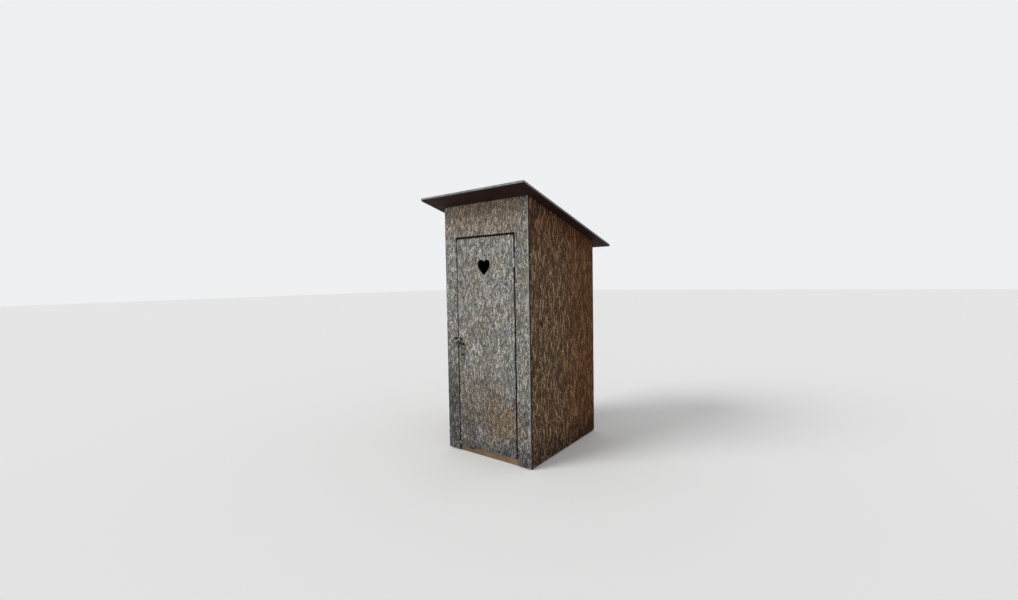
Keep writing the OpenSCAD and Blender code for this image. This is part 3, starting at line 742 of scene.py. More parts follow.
def darker_sill_end(t, place):
    """Darker towards the sill's left end, and a rotten spot there."""
    left = t.fade(place["X"], -0.34, 0.20, 0.30)
    rotten = use(t, PATCH, Place=t.join(place["X"], place["Z"]), Centre=(-0.205, 0.041, 0.0),
                 Size=(0.060, 0.014, 1.0), Ragged=0.9, Grain_Scale=60.0)["Mask"]
    return t.most(left, rotten)


def timber_material(name, axis, early, late, soil, heart=(0.03, 0.02, 0.0), dirt=None):
    """Sawn softwood whose grain runs along one axis of the hut; dirt is a function that masks where it is
    darkened: painted shade seen through the gaps, and the sill's darker end and rotten spot.
    """
    t = Finish(name)
    place = t.split(t.place["Object"])
    turned = t.join(*(place[letter] for letter in LONG_AXES[axis]))
    wood = use(t, SAWN_TIMBER, Place=turned, Heart=heart, Early=early, Late=late, Soil=soil)
    colour = wood["Color"]
    if dirt:
        # Darkened almost black: painted shade where the gaps leave a timber in view, and the sill's darker
        # left end
        colour = t.colour(t.times(dirt(t, place), 0.95), colour, srgb(18, 15, 13))
    t.shade(Base_Color=colour, Specular_IOR_Level=0.35,
            Roughness=t.ramp(wood["Height"], 0.2, 0.9, 0.86, 0.72))
    return t.bumped(wood["Height"], 0.0007)


def deck_material():
    """Boards under the roof, stained a dark reddish brown and darkened further as painted shade, as the
    roof's underside gets little light; their grain runs across the hut.
    """
    t = Finish("stained deck boards")
    place = t.split(t.place["Object"])
    turned = t.join(place["Y"], place["Z"], place["X"])
    wood = use(t, SAWN_TIMBER, Place=turned, Heart=(0.02, 2.1, 0.0), Early=srgb(42, 20, 13),
               Late=srgb(24, 11, 8), Soil=0.05)
    t.shade(Base_Color=wood["Color"], Specular_IOR_Level=0.15,
            Roughness=t.ramp(wood["Height"], 0.2, 0.9, 0.82, 0.68))
    return t.bumped(wood["Height"], 0.0007)


def felt_material():
    """Roofing felt with mineral grit, faded and dusty."""
    t = Finish("mineral felt")
    place = t.place["Object"]
    grit = t.add("ShaderNodeTexVoronoi", {"Vector": place, "Scale": 620.0})
    tone = t.channels(grit.outputs["Color"])["Red"]
    colour = t.colour(tone, srgb(52, 54, 55), srgb(104, 106, 104))
    dust = t.ramp(t.noise(place, 3.5, detail=6.0, roughness=0.65), 0.42, 0.72)
    colour = t.colour(t.times(dust, 0.5), colour, srgb(104, 98, 86))
    moss = t.ramp(t.noise(place, 17.0, detail=5.0, roughness=0.75), 0.64, 0.72)
    colour = t.colour(t.times(moss, 0.6), colour, srgb(70, 76, 44))
    t.shade(Base_Color=colour, Roughness=t.ramp(tone, 0.0, 1.0, 0.95, 0.82), Specular_IOR_Level=0.3)
    return t.bumped(t.minus(1.0, grit.outputs["Distance"]), 0.0008)


def zinc_material():
    """Galvanised sheet gone dull, with a faint bloom and dirt."""
    t = Finish("weathered zinc")
    place = t.place["Object"]
    spangle = t.add("ShaderNodeTexVoronoi", {"Vector": place, "Scale": 85.0})
    tone = t.channels(spangle.outputs["Color"])["Red"]
    colour = t.colour(tone, srgb(98, 101, 101), srgb(126, 129, 128))
    dirt = t.ramp(t.noise(place, 24.0, detail=6.0, roughness=0.7), 0.48, 0.70)
    colour = t.colour(t.times(dirt, 0.55), colour, srgb(66, 62, 56))
    t.shade(Base_Color=colour, Metallic=0.35, Roughness=t.ramp(dirt, 0.0, 1.0, 0.52, 0.80))
    return t.bumped(t.noise(place, 45.0, detail=3.0), 0.0009)


def rusty_material(name, steel, amount, low_amount=None):
    """Steel fittings with rust; a low_amount is the amount near the ground."""
    t = Finish(name)
    if low_amount:
        height = t.split(t.place["Object"])["Z"]
        amount = t.ramp(height, 0.5, 1.5, low_amount, amount)
    rust = use(t, RUST, Place=t.place["Object"], Amount=amount, Steel=steel)
    t.shade(Base_Color=rust["Color"], Metallic=t.times(rust["Bare"], 0.7),
            Roughness=t.ramp(rust["Bare"], 0.0, 1.0, 0.88, 0.55))
    return t.bumped(rust["Height"], 0.0004)


def padlock_material():
    """Worn steel case: scratched bright on its rounds, dark and spotted with rust elsewhere."""
    t = Finish("padlock case")
    place = t.place["Object"]
    rust = use(t, RUST, Place=place, Amount=0.30, Steel=srgb(74, 77, 77))
    rubbed = t.noise(t.stretch(place, (900.0, 900.0, 120.0)), detail=3.0, roughness=0.7)
    dirt = t.ramp(t.noise(place, 130.0, detail=4.0), 0.42, 0.68)
    colour = t.colour(t.times(dirt, 0.85), rust["Color"], srgb(25, 24, 23))
    t.shade(Base_Color=colour, Metallic=t.times(rust["Bare"], 0.85),
            Roughness=t.ramp(rubbed, 0.3, 0.7, 0.34, 0.58))
    return t.bumped(t.scaled(rubbed, 0.3, rust["Height"]), 0.0003)


def shackle_material():
    """Bright hardened steel with fine scratches round the rod."""
    t = Finish("bright shackle")
    place = t.place["Object"]
    scratch = t.noise(t.stretch(place, (260.0, 260.0, 1900.0)), detail=3.0, roughness=0.7)
    dull = t.ramp(t.noise(place, 160.0, detail=4.0), 0.5, 0.7)
    colour = t.colour(t.times(dull, 0.35), srgb(236, 237, 238), srgb(142, 138, 132))
    t.shade(Base_Color=colour, Metallic=1.0, Roughness=t.ramp(scratch, 0.3, 0.7, 0.16, 0.34))
    return t.bumped(scratch, 0.0001)


def chip_material():
    """Freshly split wood, silvery where it has dried."""
    t = Finish("fresh splinters")
    place = t.place["Object"]
    fibre = t.noise(t.stretch(place, (700.0, 700.0, 60.0)), detail=3.0)
    t.shade(Base_Color=t.colour(t.ramp(fibre, 0.3, 0.7), srgb(188, 178, 160), srgb(232, 226, 214)),
            Roughness=t.ramp(fibre, 0.3, 0.7, 0.85, 0.7))
    return t.bumped(fibre, 0.0005)


FRONT_BOARD = board_material("front strand board", "front", FRONT_WEATHER, FRONT_COLOURS,
                             strand_size=FRONT_STRANDS)
SIDE_BOARD = board_material("side strand board", "side", WALL_WEATHER, WALL_COLOURS, WALL_SHINE,
                            WALL_STRANDS)
BACK_BOARD = board_material("back strand board", "front", WALL_WEATHER, WALL_COLOURS, WALL_SHINE,
                            WALL_STRANDS)
FLOOR_BOARD = board_material("floor strand board", "flat", FLOOR_WEATHER, INSIDE_COLOURS)
FRONT_FLAKES = flake_material("front strands", "front", FRONT_WEATHER, FRONT_COLOURS)
SIDE_FLAKES = flake_material("side strands", "side", WALL_WEATHER, WALL_COLOURS, WALL_SHINE)
BACK_FLAKES = flake_material("back strands", "front", WALL_WEATHER, WALL_COLOURS, WALL_SHINE)
SILL_EARLY, SILL_LATE = srgb(132, 108, 80), srgb(90, 69, 49)
FRAME_EARLY, FRAME_LATE = srgb(178, 152, 116), srgb(130, 98, 66)
SILL_X = timber_material("sill timber across", "X", SILL_EARLY, SILL_LATE, 0.65, (-0.55, 0.06, 0.0),
                         darker_sill_end)
SILL_Y = timber_material("sill timber along", "Y", SILL_EARLY, SILL_LATE, 0.75, (0.40, 0.06, 0.0))
FRAME, DOOR_TIMBER = {}, {}
for axis in "XYZ":
    FRAME[axis] = timber_material("frame timber " + axis, axis, FRAME_EARLY, FRAME_LATE, 0.45,
                                  dirt=shade_behind_gap)
for axis in "XZ":
    DOOR_TIMBER[axis] = timber_material("door timber " + axis, axis, FRAME_EARLY, FRAME_LATE, 0.40,
                                        dirt=shade_at_door_edge)
DECK = deck_material()
FELT = felt_material()
ZINC = zinc_material()
RUSTY = rusty_material("rusty steel", srgb(27, 25, 24), 0.40)
HINGE = rusty_material("worn hinges", srgb(176, 175, 171), 0.22, 0.85)
SCREW = rusty_material("rusty screws", srgb(46, 41, 38), 0.65)
PADLOCK = padlock_material()
SHACKLE = shackle_material()
CHIPS = chip_material()


def wear(name, material):
    """Gives a CAD node its material."""
    mesh = nodes[name].data
    mesh.materials.clear()
    mesh.materials.append(material)


# Meshes
def new_piece(name, mesh, material, body, slot):
    """Turns a mesh in the frame's coordinates into a piece that rides on a body."""
    mesh.materials.clear()
    mesh.materials.append(material)
    piece = bpy.data.objects.new(name, mesh)
    bpy.context.scene.collection.objects.link(piece)
    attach(piece, body)
    return piece


def joined(node):
    """A copy of a CAD node's mesh with its corners merged and its flat triangles joined to faces."""
    shape = bmesh.new()
    shape.from_mesh(nodes[node].data)
    bmesh.ops.remove_doubles(shape, verts=shape.verts, dist=1e-5)
    bmesh.ops.dissolve_limit(shape, angle_limit=math.radians(1), verts=shape.verts, edges=shape.edges)
    return shape


def sharp_edges(shape):
    """Edges where two faces meet at more than 30 degrees."""
    limit = math.radians(30)
    return [e for e in shape.edges if len(e.link_faces) == 2 and e.calc_face_angle() > limit]


def finish_mesh(shape, name):
    mesh = bpy.data.meshes.new(name)
    shape.to_mesh(mesh)
    shape.free()
    return mesh


def eased_timber(node, material, slot):
    """A timber with its corners worn round."""
    shape = joined(node)
    bmesh.ops.bevel(shape, geom=sharp_edges(shape), offset=EASE, segments=2, profile=0.5, affect="EDGES")
    piece = new_piece("worn_" + node, finish_mesh(shape, node), material, nodes[node]["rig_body"], slot)
    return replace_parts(piece, node)


def fray(shape, through):
    """Chips the cut edges of a sheet that is thin along one axis, most near the ground."""
    for edge in sharp_edges(shape):
        cuts = int(edge.calc_length() / FRAY_STEP)
        if cuts:
            bmesh.ops.subdivide_edges(shape, edges=[edge], cuts=cuts)
    shape.normal_update()
    moves = {}
    for vert in {v for e in sharp_edges(shape) for v in e.verts}:
        rims = [f.normal for f in vert.link_faces if abs(f.normal["xyz".index(through)]) < 0.5]
        inward = -sum(rims, Vector())
        if inward.length > 0 and vert.co.z < roof_z(vert.co.y) - 0.01:
            foot = 1 + FRAY_AT_FOOT * max(0.0, 1 - vert.co.z / FOOT_HEIGHT)
            ragged = max(0.0, noise.noise(vert.co * 31.0) + 0.7 * noise.noise(vert.co * 97.0))
            moves[vert] = inward.normalized() * (FRAY_DEPTH * foot * ragged)
    for vert, move in moves.items():
        vert.co += move
    bmesh.ops.triangulate(shape, faces=shape.faces[:])


def frayed_sheet(node, through, material, slot):
    """A sheet with chipped cut edges, all round and also at a hole."""
    shape = joined(node)
    fray(shape, through)
    piece = new_piece("frayed_" + node, finish_mesh(shape, node), material, nodes[node]["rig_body"], slot)
    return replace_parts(piece, node)


def frayed_front():
    """The front as the one sheet that it was before the door was cut out of it."""
    left, right, foot, top = left_strip_low.x, right_strip_high.x, left_strip_low.z, header_high.z
    outline = [(left, foot), (-doorway_x, foot), (-doorway_x, doorway_top), (doorway_x, doorway_top),
               (doorway_x, foot), (right, foot), (right, top), (left, top)]
    shape = bmesh.new()
    face = shape.faces.new([shape.verts.new((x, left_strip_low.y, z)) for x, z in outline])
    back = bmesh.ops.extrude_face_region(shape, geom=[face])["geom"]
    back = [v for v in back if isinstance(v, bmesh.types.BMVert)]
    bmesh.ops.translate(shape, verts=back, vec=(0, left_strip_high.y - left_strip_low.y, 0))
    for vert in shape.verts:
        vert.co.z = min(vert.co.z, roof_z(vert.co.y))
    bmesh.ops.recalc_face_normals(shape, faces=shape.faces)
    fray(shape, "y")
    piece = new_piece("frayed_front", finish_mesh(shape, "front"), FRONT_BOARD, CABIN, "front_sheet")
    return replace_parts(piece, "front_left_panel", "front_right_panel", "front_header_panel")


# Geometry Nodes
def geometry_group(name, takes):
    takes = "geometry Geometry; material Material; " + takes
    return new_group(name, "GeometryNodeTree", takes, "geometry Geometry")


def random_value(t, low, high, seed):
    """A random number between low and high, or a random vector where these are vectors."""
    is_vector = isinstance(low, tuple)
    kind = "FLOAT_VECTOR" if is_vector else "FLOAT"
    made = t.add("FunctionNodeRandomValue", {"Seed": seed}, data_type=kind)
    from_socket, to_socket, out = (0, 1, 0) if is_vector else (2, 3, 1)
    t.feed(made.inputs[from_socket], low)
    t.feed(made.inputs[to_socket], high)
    return made.outputs[out]


def stored(t, geometry, name, value, domain):
    """Keeps a vector under a name on a mesh or on instances, for a material to read."""
    inputs = {"Geometry": geometry, "Name": name, "Value": value}
    settings = {"data_type": "FLOAT_VECTOR", "domain": domain}
    return t.add("GeometryNodeStoreNamedAttribute", inputs, **settings).outputs[0]


def finish_tree(t, geometry):
    """Turns a tree's instances into one mesh with the tree's material."""
    realized = t.geo("RealizeInstances", Geometry=geometry)
    return t.give(Geometry=t.geo("SetMaterial", Geometry=realized, Material=t.given["Material"]))


def strand_tree():
    """Scatters pointed strands, the pale ones slim, over a flat outline and keeps them inside its box."""
    takes = "value Density, Length, Width, Thickness, Spread, Tilt, Clearance; count Seed; object Keep Clear"
    t = geometry_group("Strand flakes", takes)
    g = t.given
    position = t.geo("InputPosition")
    points = t.geo("DistributePointsOnFaces", "Points", Mesh=g["Geometry"], Density=g["Density"],
                   Seed=g["Seed"])
    turn = t.times(t.plus(random_value(t, -0.5, 0.5, 11), random_value(t, -0.5, 0.5, 12)), g["Spread"])
    length = t.times(g["Length"], random_value(t, 0.55, 1.35, 13))
    traits = random_value(t, (0.0, 0.0, 0.0), (1.0, 1.0, 1.0), 16)
    slim = t.ramp(t.split(traits)["Y"], 0.0, 1.0, 1.5, 0.5, smooth=False)
    width = t.times(g["Width"], t.times(slim, random_value(t, 0.75, 1.25, 14)))
    sine, cosine = t.math("SINE", turn), t.math("COSINE", turn)
    reach_x = t.scaled(t.math("ABSOLUTE", sine), length, t.times(cosine, width))
    reach_y = t.scaled(t.math("ABSOLUTE", sine), width, t.times(cosine, length))
    reach = t.stretch(t.join(reach_x, reach_y), (0.5, 0.5, 0.0))
    outline = t.add("GeometryNodeBoundBox", {"Geometry": g["Geometry"]}).outputs
    place = t.vector("MAXIMUM", position, t.vector("ADD", outline["Min"], reach))
    place = t.vector("MINIMUM", place, t.vector("SUBTRACT", outline["Max"], reach))
    points = t.geo("SetPosition", Geometry=points, Position=place)
    # Strands that come too near the cut-out are left out
    clear = t.geo("ObjectInfo", "Geometry", Object=g["Keep Clear"])
    along = t.join(t.times(sine, -1.0), cosine)
    met = 0.0
    for share in (-0.5, -0.25, 0.0, 0.25, 0.5):
        step = t.vector("SCALE", along, None, None, t.times(length, share))
        gap = t.geo("Proximity", "Distance", Geometry=clear,
                    Sample_Position=t.vector("ADD", position, step))
        met = t.most(t.math("LESS_THAN", gap, g["Clearance"]), met)
    corners = t.geo("AttributeDomainSize", "Point Count", Geometry=clear)
    met = t.times(met, t.math("GREATER_THAN", corners, 0.5))
    points = t.geo("DeleteGeometry", Geometry=points, Selection=met)
    strand = t.geo("MeshCone", "Mesh", Vertices=6, Radius_Top=0.93, Radius_Bottom=1.0, Depth=1.0)
    strand = stored(t, strand, "strand_grain", t.stretch(position, (0.05, 0.0075, 0.0)), "POINT")
    lean = random_value(t, (-1.0, -1.0, 0.0), (1.0, 1.0, 0.0), 15)
    tilt = t.vector("MULTIPLY", lean, t.join(g["Tilt"], g["Tilt"]))
    rotation = t.vector("ADD", tilt, t.join(0.0, 0.0, t.plus(turn, math.pi / 2)))
    scale = t.join(t.times(length, 0.5), t.times(width, 0.5), g["Thickness"])
    strands = t.geo("InstanceOnPoints", Points=points, Instance=strand, Rotation=rotation, Scale=scale)
    return finish_tree(t, stored(t, strands, "strand_traits", traits, "INSTANCE"))


def on_vertices(t, head, lean, sink=None):
    """Puts a fixing's head on each vertex of the tree's mesh, spun at random and leaning a little."""
    points = t.geo("MeshToPoints", Mesh=t.given["Geometry"])
    if sink:
        down = t.join(0.0, 0.0, t.times(sink, -1.0))
        points = t.geo("SetPosition", Geometry=points, Offset=down)
    spin = random_value(t, (-lean, -lean, 0.0), (lean, lean, 6.28), t.given["Seed"])
    return finish_tree(t, t.geo("InstanceOnPoints", Points=points, Instance=head, Rotation=spin))


def screw_tree():
    """Puts a cross-headed screw, turned at random, on each vertex of a mesh."""
    t = geometry_group("Screws", "value Head, Thickness, Slot Length, Slot Width, Sink; count Seed")
    g = t.given
    radius = t.times(g["Head"], 0.5)
    head = t.geo("MeshCone", "Mesh", Vertices=12, Radius_Top=t.times(radius, 0.8), Radius_Bottom=radius,
                 Depth=g["Thickness"])
    slots = t.add("GeometryNodeJoinGeometry")
    for sides in ((g["Slot Length"], g["Slot Width"]), (g["Slot Width"], g["Slot Length"])):
        box = t.geo("MeshCube", "Mesh", Size=t.join(*sides, g["Thickness"]))
        moved = t.geo("Transform", Geometry=box, Translation=t.join(0.0, 0.0, g["Thickness"]))
        t.tree.links.new(moved, slots.inputs[0])
    inputs = {"Mesh 1": head, "Mesh 2": slots.outputs[0]}
    cut = t.add("GeometryNodeMeshBoolean", inputs, operation="DIFFERENCE")
    return on_vertices(t, cut.outputs["Mesh"], 0.04, g["Sink"])


def nail_tree():
    """Puts a broad flat nail head on each vertex of a mesh."""
    t = geometry_group("Nails", "value Head, Thickness; count Seed")
    radius = t.times(t.given["Head"], 0.5)
    head = t.geo("MeshCone", "Mesh", Vertices=10, Radius_Top=t.times(radius, 0.75), Radius_Bottom=radius,
                 Depth=t.given["Thickness"])
    return on_vertices(t, head, 0.06)


def deck_tree():
    """Lays chamfered boards side by side along Y."""
    t = geometry_group("Deck boards", "count Boards; value Board Width, Gap, Length, Thickness, Chamfer")
    g = t.given
    wide = t.minus(g["Board Width"], g["Gap"])
    upper = t.minus(g["Thickness"], g["Chamfer"])
    board = t.geo("MeshCube", "Mesh", Size=t.join(g["Length"], wide, upper))
    rise = t.join(0.0, 0.0, t.scaled(upper, 0.5, g["Chamfer"]))
    board = t.geo("Transform", Geometry=board, Translation=rise)
    faces_down = t.math("LESS_THAN", t.split(t.geo("InputNormal"))["Z"], -0.5)
    board = t.geo("ExtrudeMesh", "Mesh", Mesh=board, Selection=faces_down, Offset=(0.0, 0.0, -1.0),
                  Offset_Scale=g["Chamfer"])
    position = t.split(t.geo("InputPosition"))
    below = t.math("LESS_THAN", position["Z"], t.times(g["Chamfer"], 0.5))
    narrow = t.mix("FLOAT", below, 1.0, t.scaled(t.over(g["Chamfer"], wide), -2.0, 1.0))
    shaped = t.join(position["X"], t.times(position["Y"], narrow), position["Z"])
    board = t.geo("SetPosition", Geometry=board, Position=shaped)
    line = t.geo("MeshLine", Count=g["Boards"], Offset=t.join(0.0, g["Board Width"], 0.0))
    return finish_tree(t, t.geo("InstanceOnPoints", Points=line, Instance=board))


STRAND_TREE = strand_tree()
SCREW_TREE = screw_tree()
NAIL_TREE = nail_tree()
DECK_TREE = deck_tree()


def grown_mesh(name, host_mesh, t, **values):
    """The mesh that a Geometry Nodes tree makes from a host mesh."""
    host = bpy.data.objects.new(name, host_mesh)
    bpy.context.scene.collection.objects.link(host)
    modifier = host.modifiers.new("Tree", "NODES")
    modifier.node_group = t.tree
    sockets = {s.name: s.identifier for s in t.tree.interface.items_tree if s.in_out == "INPUT"}
    for label, value in values.items():
        modifier[sockets[label.replace("_", " ")]] = value
    seen = host.evaluated_get(bpy.context.evaluated_depsgraph_get())
    mesh = bpy.data.meshes.new_from_object(seen)
    bpy.data.objects.remove(host)
    bpy.data.meshes.remove(host_mesh)
    return mesh


def dots(places):
    """A mesh of loose vertices."""
    mesh = bpy.data.meshes.new("dots")
    mesh.from_pydata([Vector((*p, 0.0)[:3]) for p in places], [], [])
    return mesh


def outline_mesh(corners):
    """A flat mesh of one face."""
    mesh = bpy.data.meshes.new("outline")
    mesh.from_pydata([(*corner, 0.0) for corner in corners], [], [range(len(corners))])
    return mesh


def plane_matrix(across, along, origin):
    """Turns local X, Y and their cross product into the hut's own directions."""
    across, along = Vector(across), Vector(along)
    outward = across.cross(along)
    turn = Matrix((across, along, outward)).transposed().to_4x4()
    return Matrix.Translation(origin) @ turn


# Local X, Y on each outer face, seen from outside
FACES = {
    "front": plane_matrix((1, 0, 0), (0, 0, 1), (0, -half_d, 0)),
    "back": plane_matrix((-1, 0, 0), (0, 0, 1), (0, half_d, 0)),
    "right": plane_matrix((0, 1, 0), (0, 0, 1), (half_w, 0, 0)),
    "left": plane_matrix((0, -1, 0), (0, 0, 1), (-half_w, 0, 0)),
}


def heart_shape():
    """The heart's outline as a flat face, for keeping strands clear of the cut-out."""
    low, high, margin = door_low, door_high, 0.1
    inner = set()
    for vert in nodes["door_panel"].data.vertices:
        x, y, z = vert.co
        inside = low.x + margin < x < high.x - margin and low.z + margin < z < high.z - margin
        if inside and y < low.y + 0.001:
            inner.add((round(x, 6), round(z, 6)))
    inner = sorted(inner)
    middle = Vector((sum(p[0] for p in inner), sum(p[1] for p in inner))) / len(inner)
    inner.sort(key=lambda p: math.atan2(p[1] - middle.y, p[0] - middle.x))
    return bpy.data.objects.new("heart", outline_mesh(inner))


def cut_at_roof(mesh):
    """Cuts off what would stick up through the roof, and closes the cuts."""
    shape = bmesh.new()
    shape.from_mesh(mesh)
    bmesh.ops.bisect_plane(shape, geom=shape.verts[:] + shape.edges[:] + shape.faces[:],
                           plane_co=(0, 0, roof_z(0)), plane_no=(0, pitch, 1), clear_outer=True)
    bmesh.ops.holes_fill(shape, edges=[e for e in shape.edges if e.is_boundary])
    shape.to_mesh(mesh)
    shape.free()


# Strands of each face: material, size and spread
SHEET_STRANDS = {
    "front": (FRONT_FLAKES, FRONT_STRANDS, FRONT_SPREAD),
    "left": (SIDE_FLAKES, WALL_STRANDS, WALL_SPREAD),
    "right": (SIDE_FLAKES, WALL_STRANDS, WALL_SPREAD),
    "back": (BACK_FLAKES, WALL_STRANDS, WALL_SPREAD),
}


def strand_flakes(name, face, corners, seed, body=CABIN, slot="wall_sheet", clear=None):
    """Raised strands over one sheet's outer face; corners are its outline in the face's own plane."""
    material, size, spread = SHEET_STRANDS[face]
    width, length = STRAND_WIDTH * size[0], STRAND_LENGTH * size[1]
    density = STRAND_COVER / (width * length)
    mesh = grown_mesh(name, outline_mesh(corners), STRAND_TREE, Density=density, Seed=seed, Length=length,
                      Width=width, Thickness=STRAND_THICKNESS, Spread=spread, Tilt=STRAND_TILT,
                      Clearance=HEART_CLEARANCE, Keep_Clear=clear, Material=material)
    mesh.transform(FACES[face] @ Matrix.Translation((0, 0, -STRAND_SUNK)))
    if face in ("left", "right"):
        cut_at_roof(mesh)
    return new_piece(name, mesh, material, body, slot)


def rectangle(x0, x1, z0, z1):
    return [(x0, z0), (x1, z0), (x1, z1), (x0, z1)]


def screw_rows(rows, top):
    """Places of screws in rows that climb a sheet on both sides of its middle."""
    places = []
    for side in (-1, 1):
        for across, height, spacing in rows:
            while height < top - SCREW_MARGIN:
                places.append((side * across, height))
                height += spacing
    return places


def screws(name, face, places, body, seed, size=SHEET_SCREW, lift=0.0):
    """Screw heads on one outer face; lift is the thickness of a plate between the head and the sheet."""
    mesh = grown_mesh(name, dots(places), SCREW_TREE, Seed=seed, Material=SCREW, **size)
    mesh.transform(FACES[face] @ Matrix.Translation((0, 0, lift)))
    return new_piece(name, mesh, SCREW, body, "rusty_steel")


def eye_screws(eye, edge, inward, body, seed):
    """Two screws in an eye's plate, counted inwards from the plate's outer edge."""
    places = [(edge + inward * step, LOCK_Z) for step in (0.008, 0.024)]
    return screws(eye + "_screws", "front", places, body, seed, EYE_SCREW, lift=0.002)


def nails(name, matrix, places, seed):
    """Nail heads on a plane of the roof."""
    mesh = grown_mesh(name, dots(places), NAIL_TREE, Seed=seed, Material=ZINC, **NAIL)
    mesh.transform(matrix)
    return new_piece(name, mesh, ZINC, CABIN, "drip_edge")


# Hand-built details
def swept(rings, name):
    """A closed mesh through rings of equally many points, with an end face at each end."""
    shape = bmesh.new()
    made = [[shape.verts.new(point) for point in ring] for ring in rings]
    for first, second in zip(made, made[1:]):
        for i in range(len(first)):
            j = (i + 1) % len(first)
            shape.faces.new((first[i], first[j], second[j], second[i]))
    shape.faces.new(made[0][::-1])
    shape.faces.new(made[-1])
    bmesh.ops.recalc_face_normals(shape, faces=shape.faces)
    return finish_mesh(shape, name)


def add_plug(shape, place, radius, height, axis="Z"):
    """A round plug with an eased rim, added to a mesh; height is its whole length."""
    turn = Matrix.Rotation(math.radians(90), 4, "X") if axis == "Y" else Matrix.Identity(4)
    matrix = Matrix.Translation(place) @ turn
    made = bmesh.ops.create_cone(shape, segments=24, radius1=radius, radius2=radius, depth=height,
                                 cap_ends=True, matrix=matrix)
    own = {e for v in made["verts"] for e in v.link_edges if e.calc_face_angle(0) > 1}
    bmesh.ops.bevel(shape, geom=list(own), offset=min(radius, height) * 0.22, segments=2, profile=0.5,
                    affect="EDGES")


# Padlock's rivets: how far from its middle, and their heights above its lower end
RIVET_X, RIVETS_Z = 0.0115, (0.034, 0.014)


def padlock_case():
    """The padlock's case with eased rims, a sunk front, four rivets and a keyhole plug."""
    low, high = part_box("padlock_body")
    shape = joined("padlock_body")

    def on_face(edge):
        return any(all(abs(v.co.y - y) < 1e-5 for v in edge.verts) for y in (low.y, high.y))

    rims = [e for e in sharp_edges(shape) if on_face(e)]
    bmesh.ops.bevel(shape, geom=rims, offset=0.0024, segments=3, profile=0.5, affect="EDGES")
    front = max((f for f in shape.faces if f.normal.y < -0.99), key=lambda f: f.calc_area())
    bmesh.ops.inset_region(shape, faces=[front], thickness=0.0028, depth=-0.0008)
    middle = (low.x + high.x) / 2
    for z in RIVETS_Z:
        for x in (-RIVET_X, RIVET_X):
            add_plug(shape, (middle + x, low.y + 0.0010, low.z + z), 0.0022, 0.0018, "Y")
    add_plug(shape, (middle, (low.y + high.y) / 2, low.z + 0.0015), 0.0060, 0.0036)
    piece = new_piece("padlock_case", finish_mesh(shape, "padlock_case"), PADLOCK, DOOR, "padlock_case")
    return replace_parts(piece, "padlock_body")


# Along a splinter: shares of its length and width, and its thickness; its back lies inside the sheet
SPLINTER_RINGS = ((0.0, 0.5, 0.0006), (0.35, 1.0, 0.0009), (0.75, 0.7, 0.0007), (1.0, 0.12, 0.0002))
SPLINTER_SUNK = 0.0004


def splinters(name, rows, body, slot):
    """Slivers on the front; a row gives across, height, turn, length, width and how far it stands off."""
    parts = bmesh.new()
    for x, z, turn, length, width, off in rows:
        rings = []
        for share, wide, thick in SPLINTER_RINGS:
            half, along, out = width * wide / 2, length * share, off * share ** 2
            section = rectangle(-half, half, out - SPLINTER_SUNK, out + thick)
            rings.append([(across, along, rise) for across, rise in section])
        mesh = swept(rings, name)
        turned = Matrix.Rotation(math.radians(turn), 4, "Z")
        mesh.transform(FACES["front"] @ Matrix.Translation((x, z, 0)) @ turned)
        parts.from_mesh(mesh)
        bpy.data.meshes.remove(mesh)
    return new_piece(name, finish_mesh(parts, name), CHIPS, body, slot)


def roof_plane(lift):
    """Local X and Y on the roof's slope, with the origin over the hut's middle."""
    along = Vector((0, 1, -pitch)).normalized()
    return plane_matrix((1, 0, 0), along, (0, 0, roof_z(0) + lift))


def felt_lap():
    """The upper strip of felt, whose lower edge laps over the lower strip."""
    felt_low, felt_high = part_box("roof_felt")
    half_x = felt_high.x - DRIP_FLANGE
    top = felt_low.y + DRIP_FLANGE + 0.001
    base = roof_z(0) + DECK_T + FELT_T
    rings = []
    for i in range(LAP_STEPS + 1):
        x = half_x * (2 * i / LAP_STEPS - 1)
        wave, nick = noise.noise(Vector((x * 7, 0, 0))), noise.noise(Vector((x * 37, 3, 0)))
        edge = LAP_END + 0.004 * wave + 0.0015 * nick
        curl = 0.0012 * max(0.0, noise.noise(Vector((x * 9, 5, 0))))
        section = ((top, -0.001), (edge - 0.03, -0.001), (edge, -0.0005), (edge, LAP_T + curl),
                   (edge - 0.03, LAP_T), (top, LAP_T))
        rings.append([(x, y, base - pitch * y + rise) for y, rise in section])
    return new_piece("felt_lap", swept(rings, "felt_lap"), FELT, CABIN, "roof_felt")


# Sheets
frayed_front()
for node in ("left_wall", "right_wall"):
    frayed_sheet(node, "x", SIDE_BOARD, "wall_sheet")
frayed_sheet("back_wall", "y", BACK_BOARD, "wall_sheet")
frayed_sheet("door_panel", "y", FRONT_BOARD, "door_sheet")

# Timbers: material, slot and nodes
TIMBERS = (
    (SILL_X, "sill_timber", "sill_front sill_back"),
    (SILL_Y, "sill_timber", "sill_left sill_right"),
    (FRAME["Z"], "frame_timber", "post_front_left post_front_right post_back_left post_back_right"),
    (FRAME["Z"], "frame_timber", "jamb_left jamb_right"),
    (FRAME["X"], "frame_timber", "lintel plate_front plate_back floor_joists"),
    (FRAME["Y"], "frame_timber", "rafter_left rafter_middle rafter_right"),
    (FRAME["Z"], "frame_timber", "door_stops"),
    (DOOR_TIMBER["Z"], "door_timber", "door_batten_hinge door_batten_latch"),
    (DOOR_TIMBER["X"], "door_timber", "door_ledger_top door_ledger_middle door_ledger_bottom"),
)
for material, slot, names in TIMBERS:
    for node in names.split():
        eased_timber(node, material, slot)

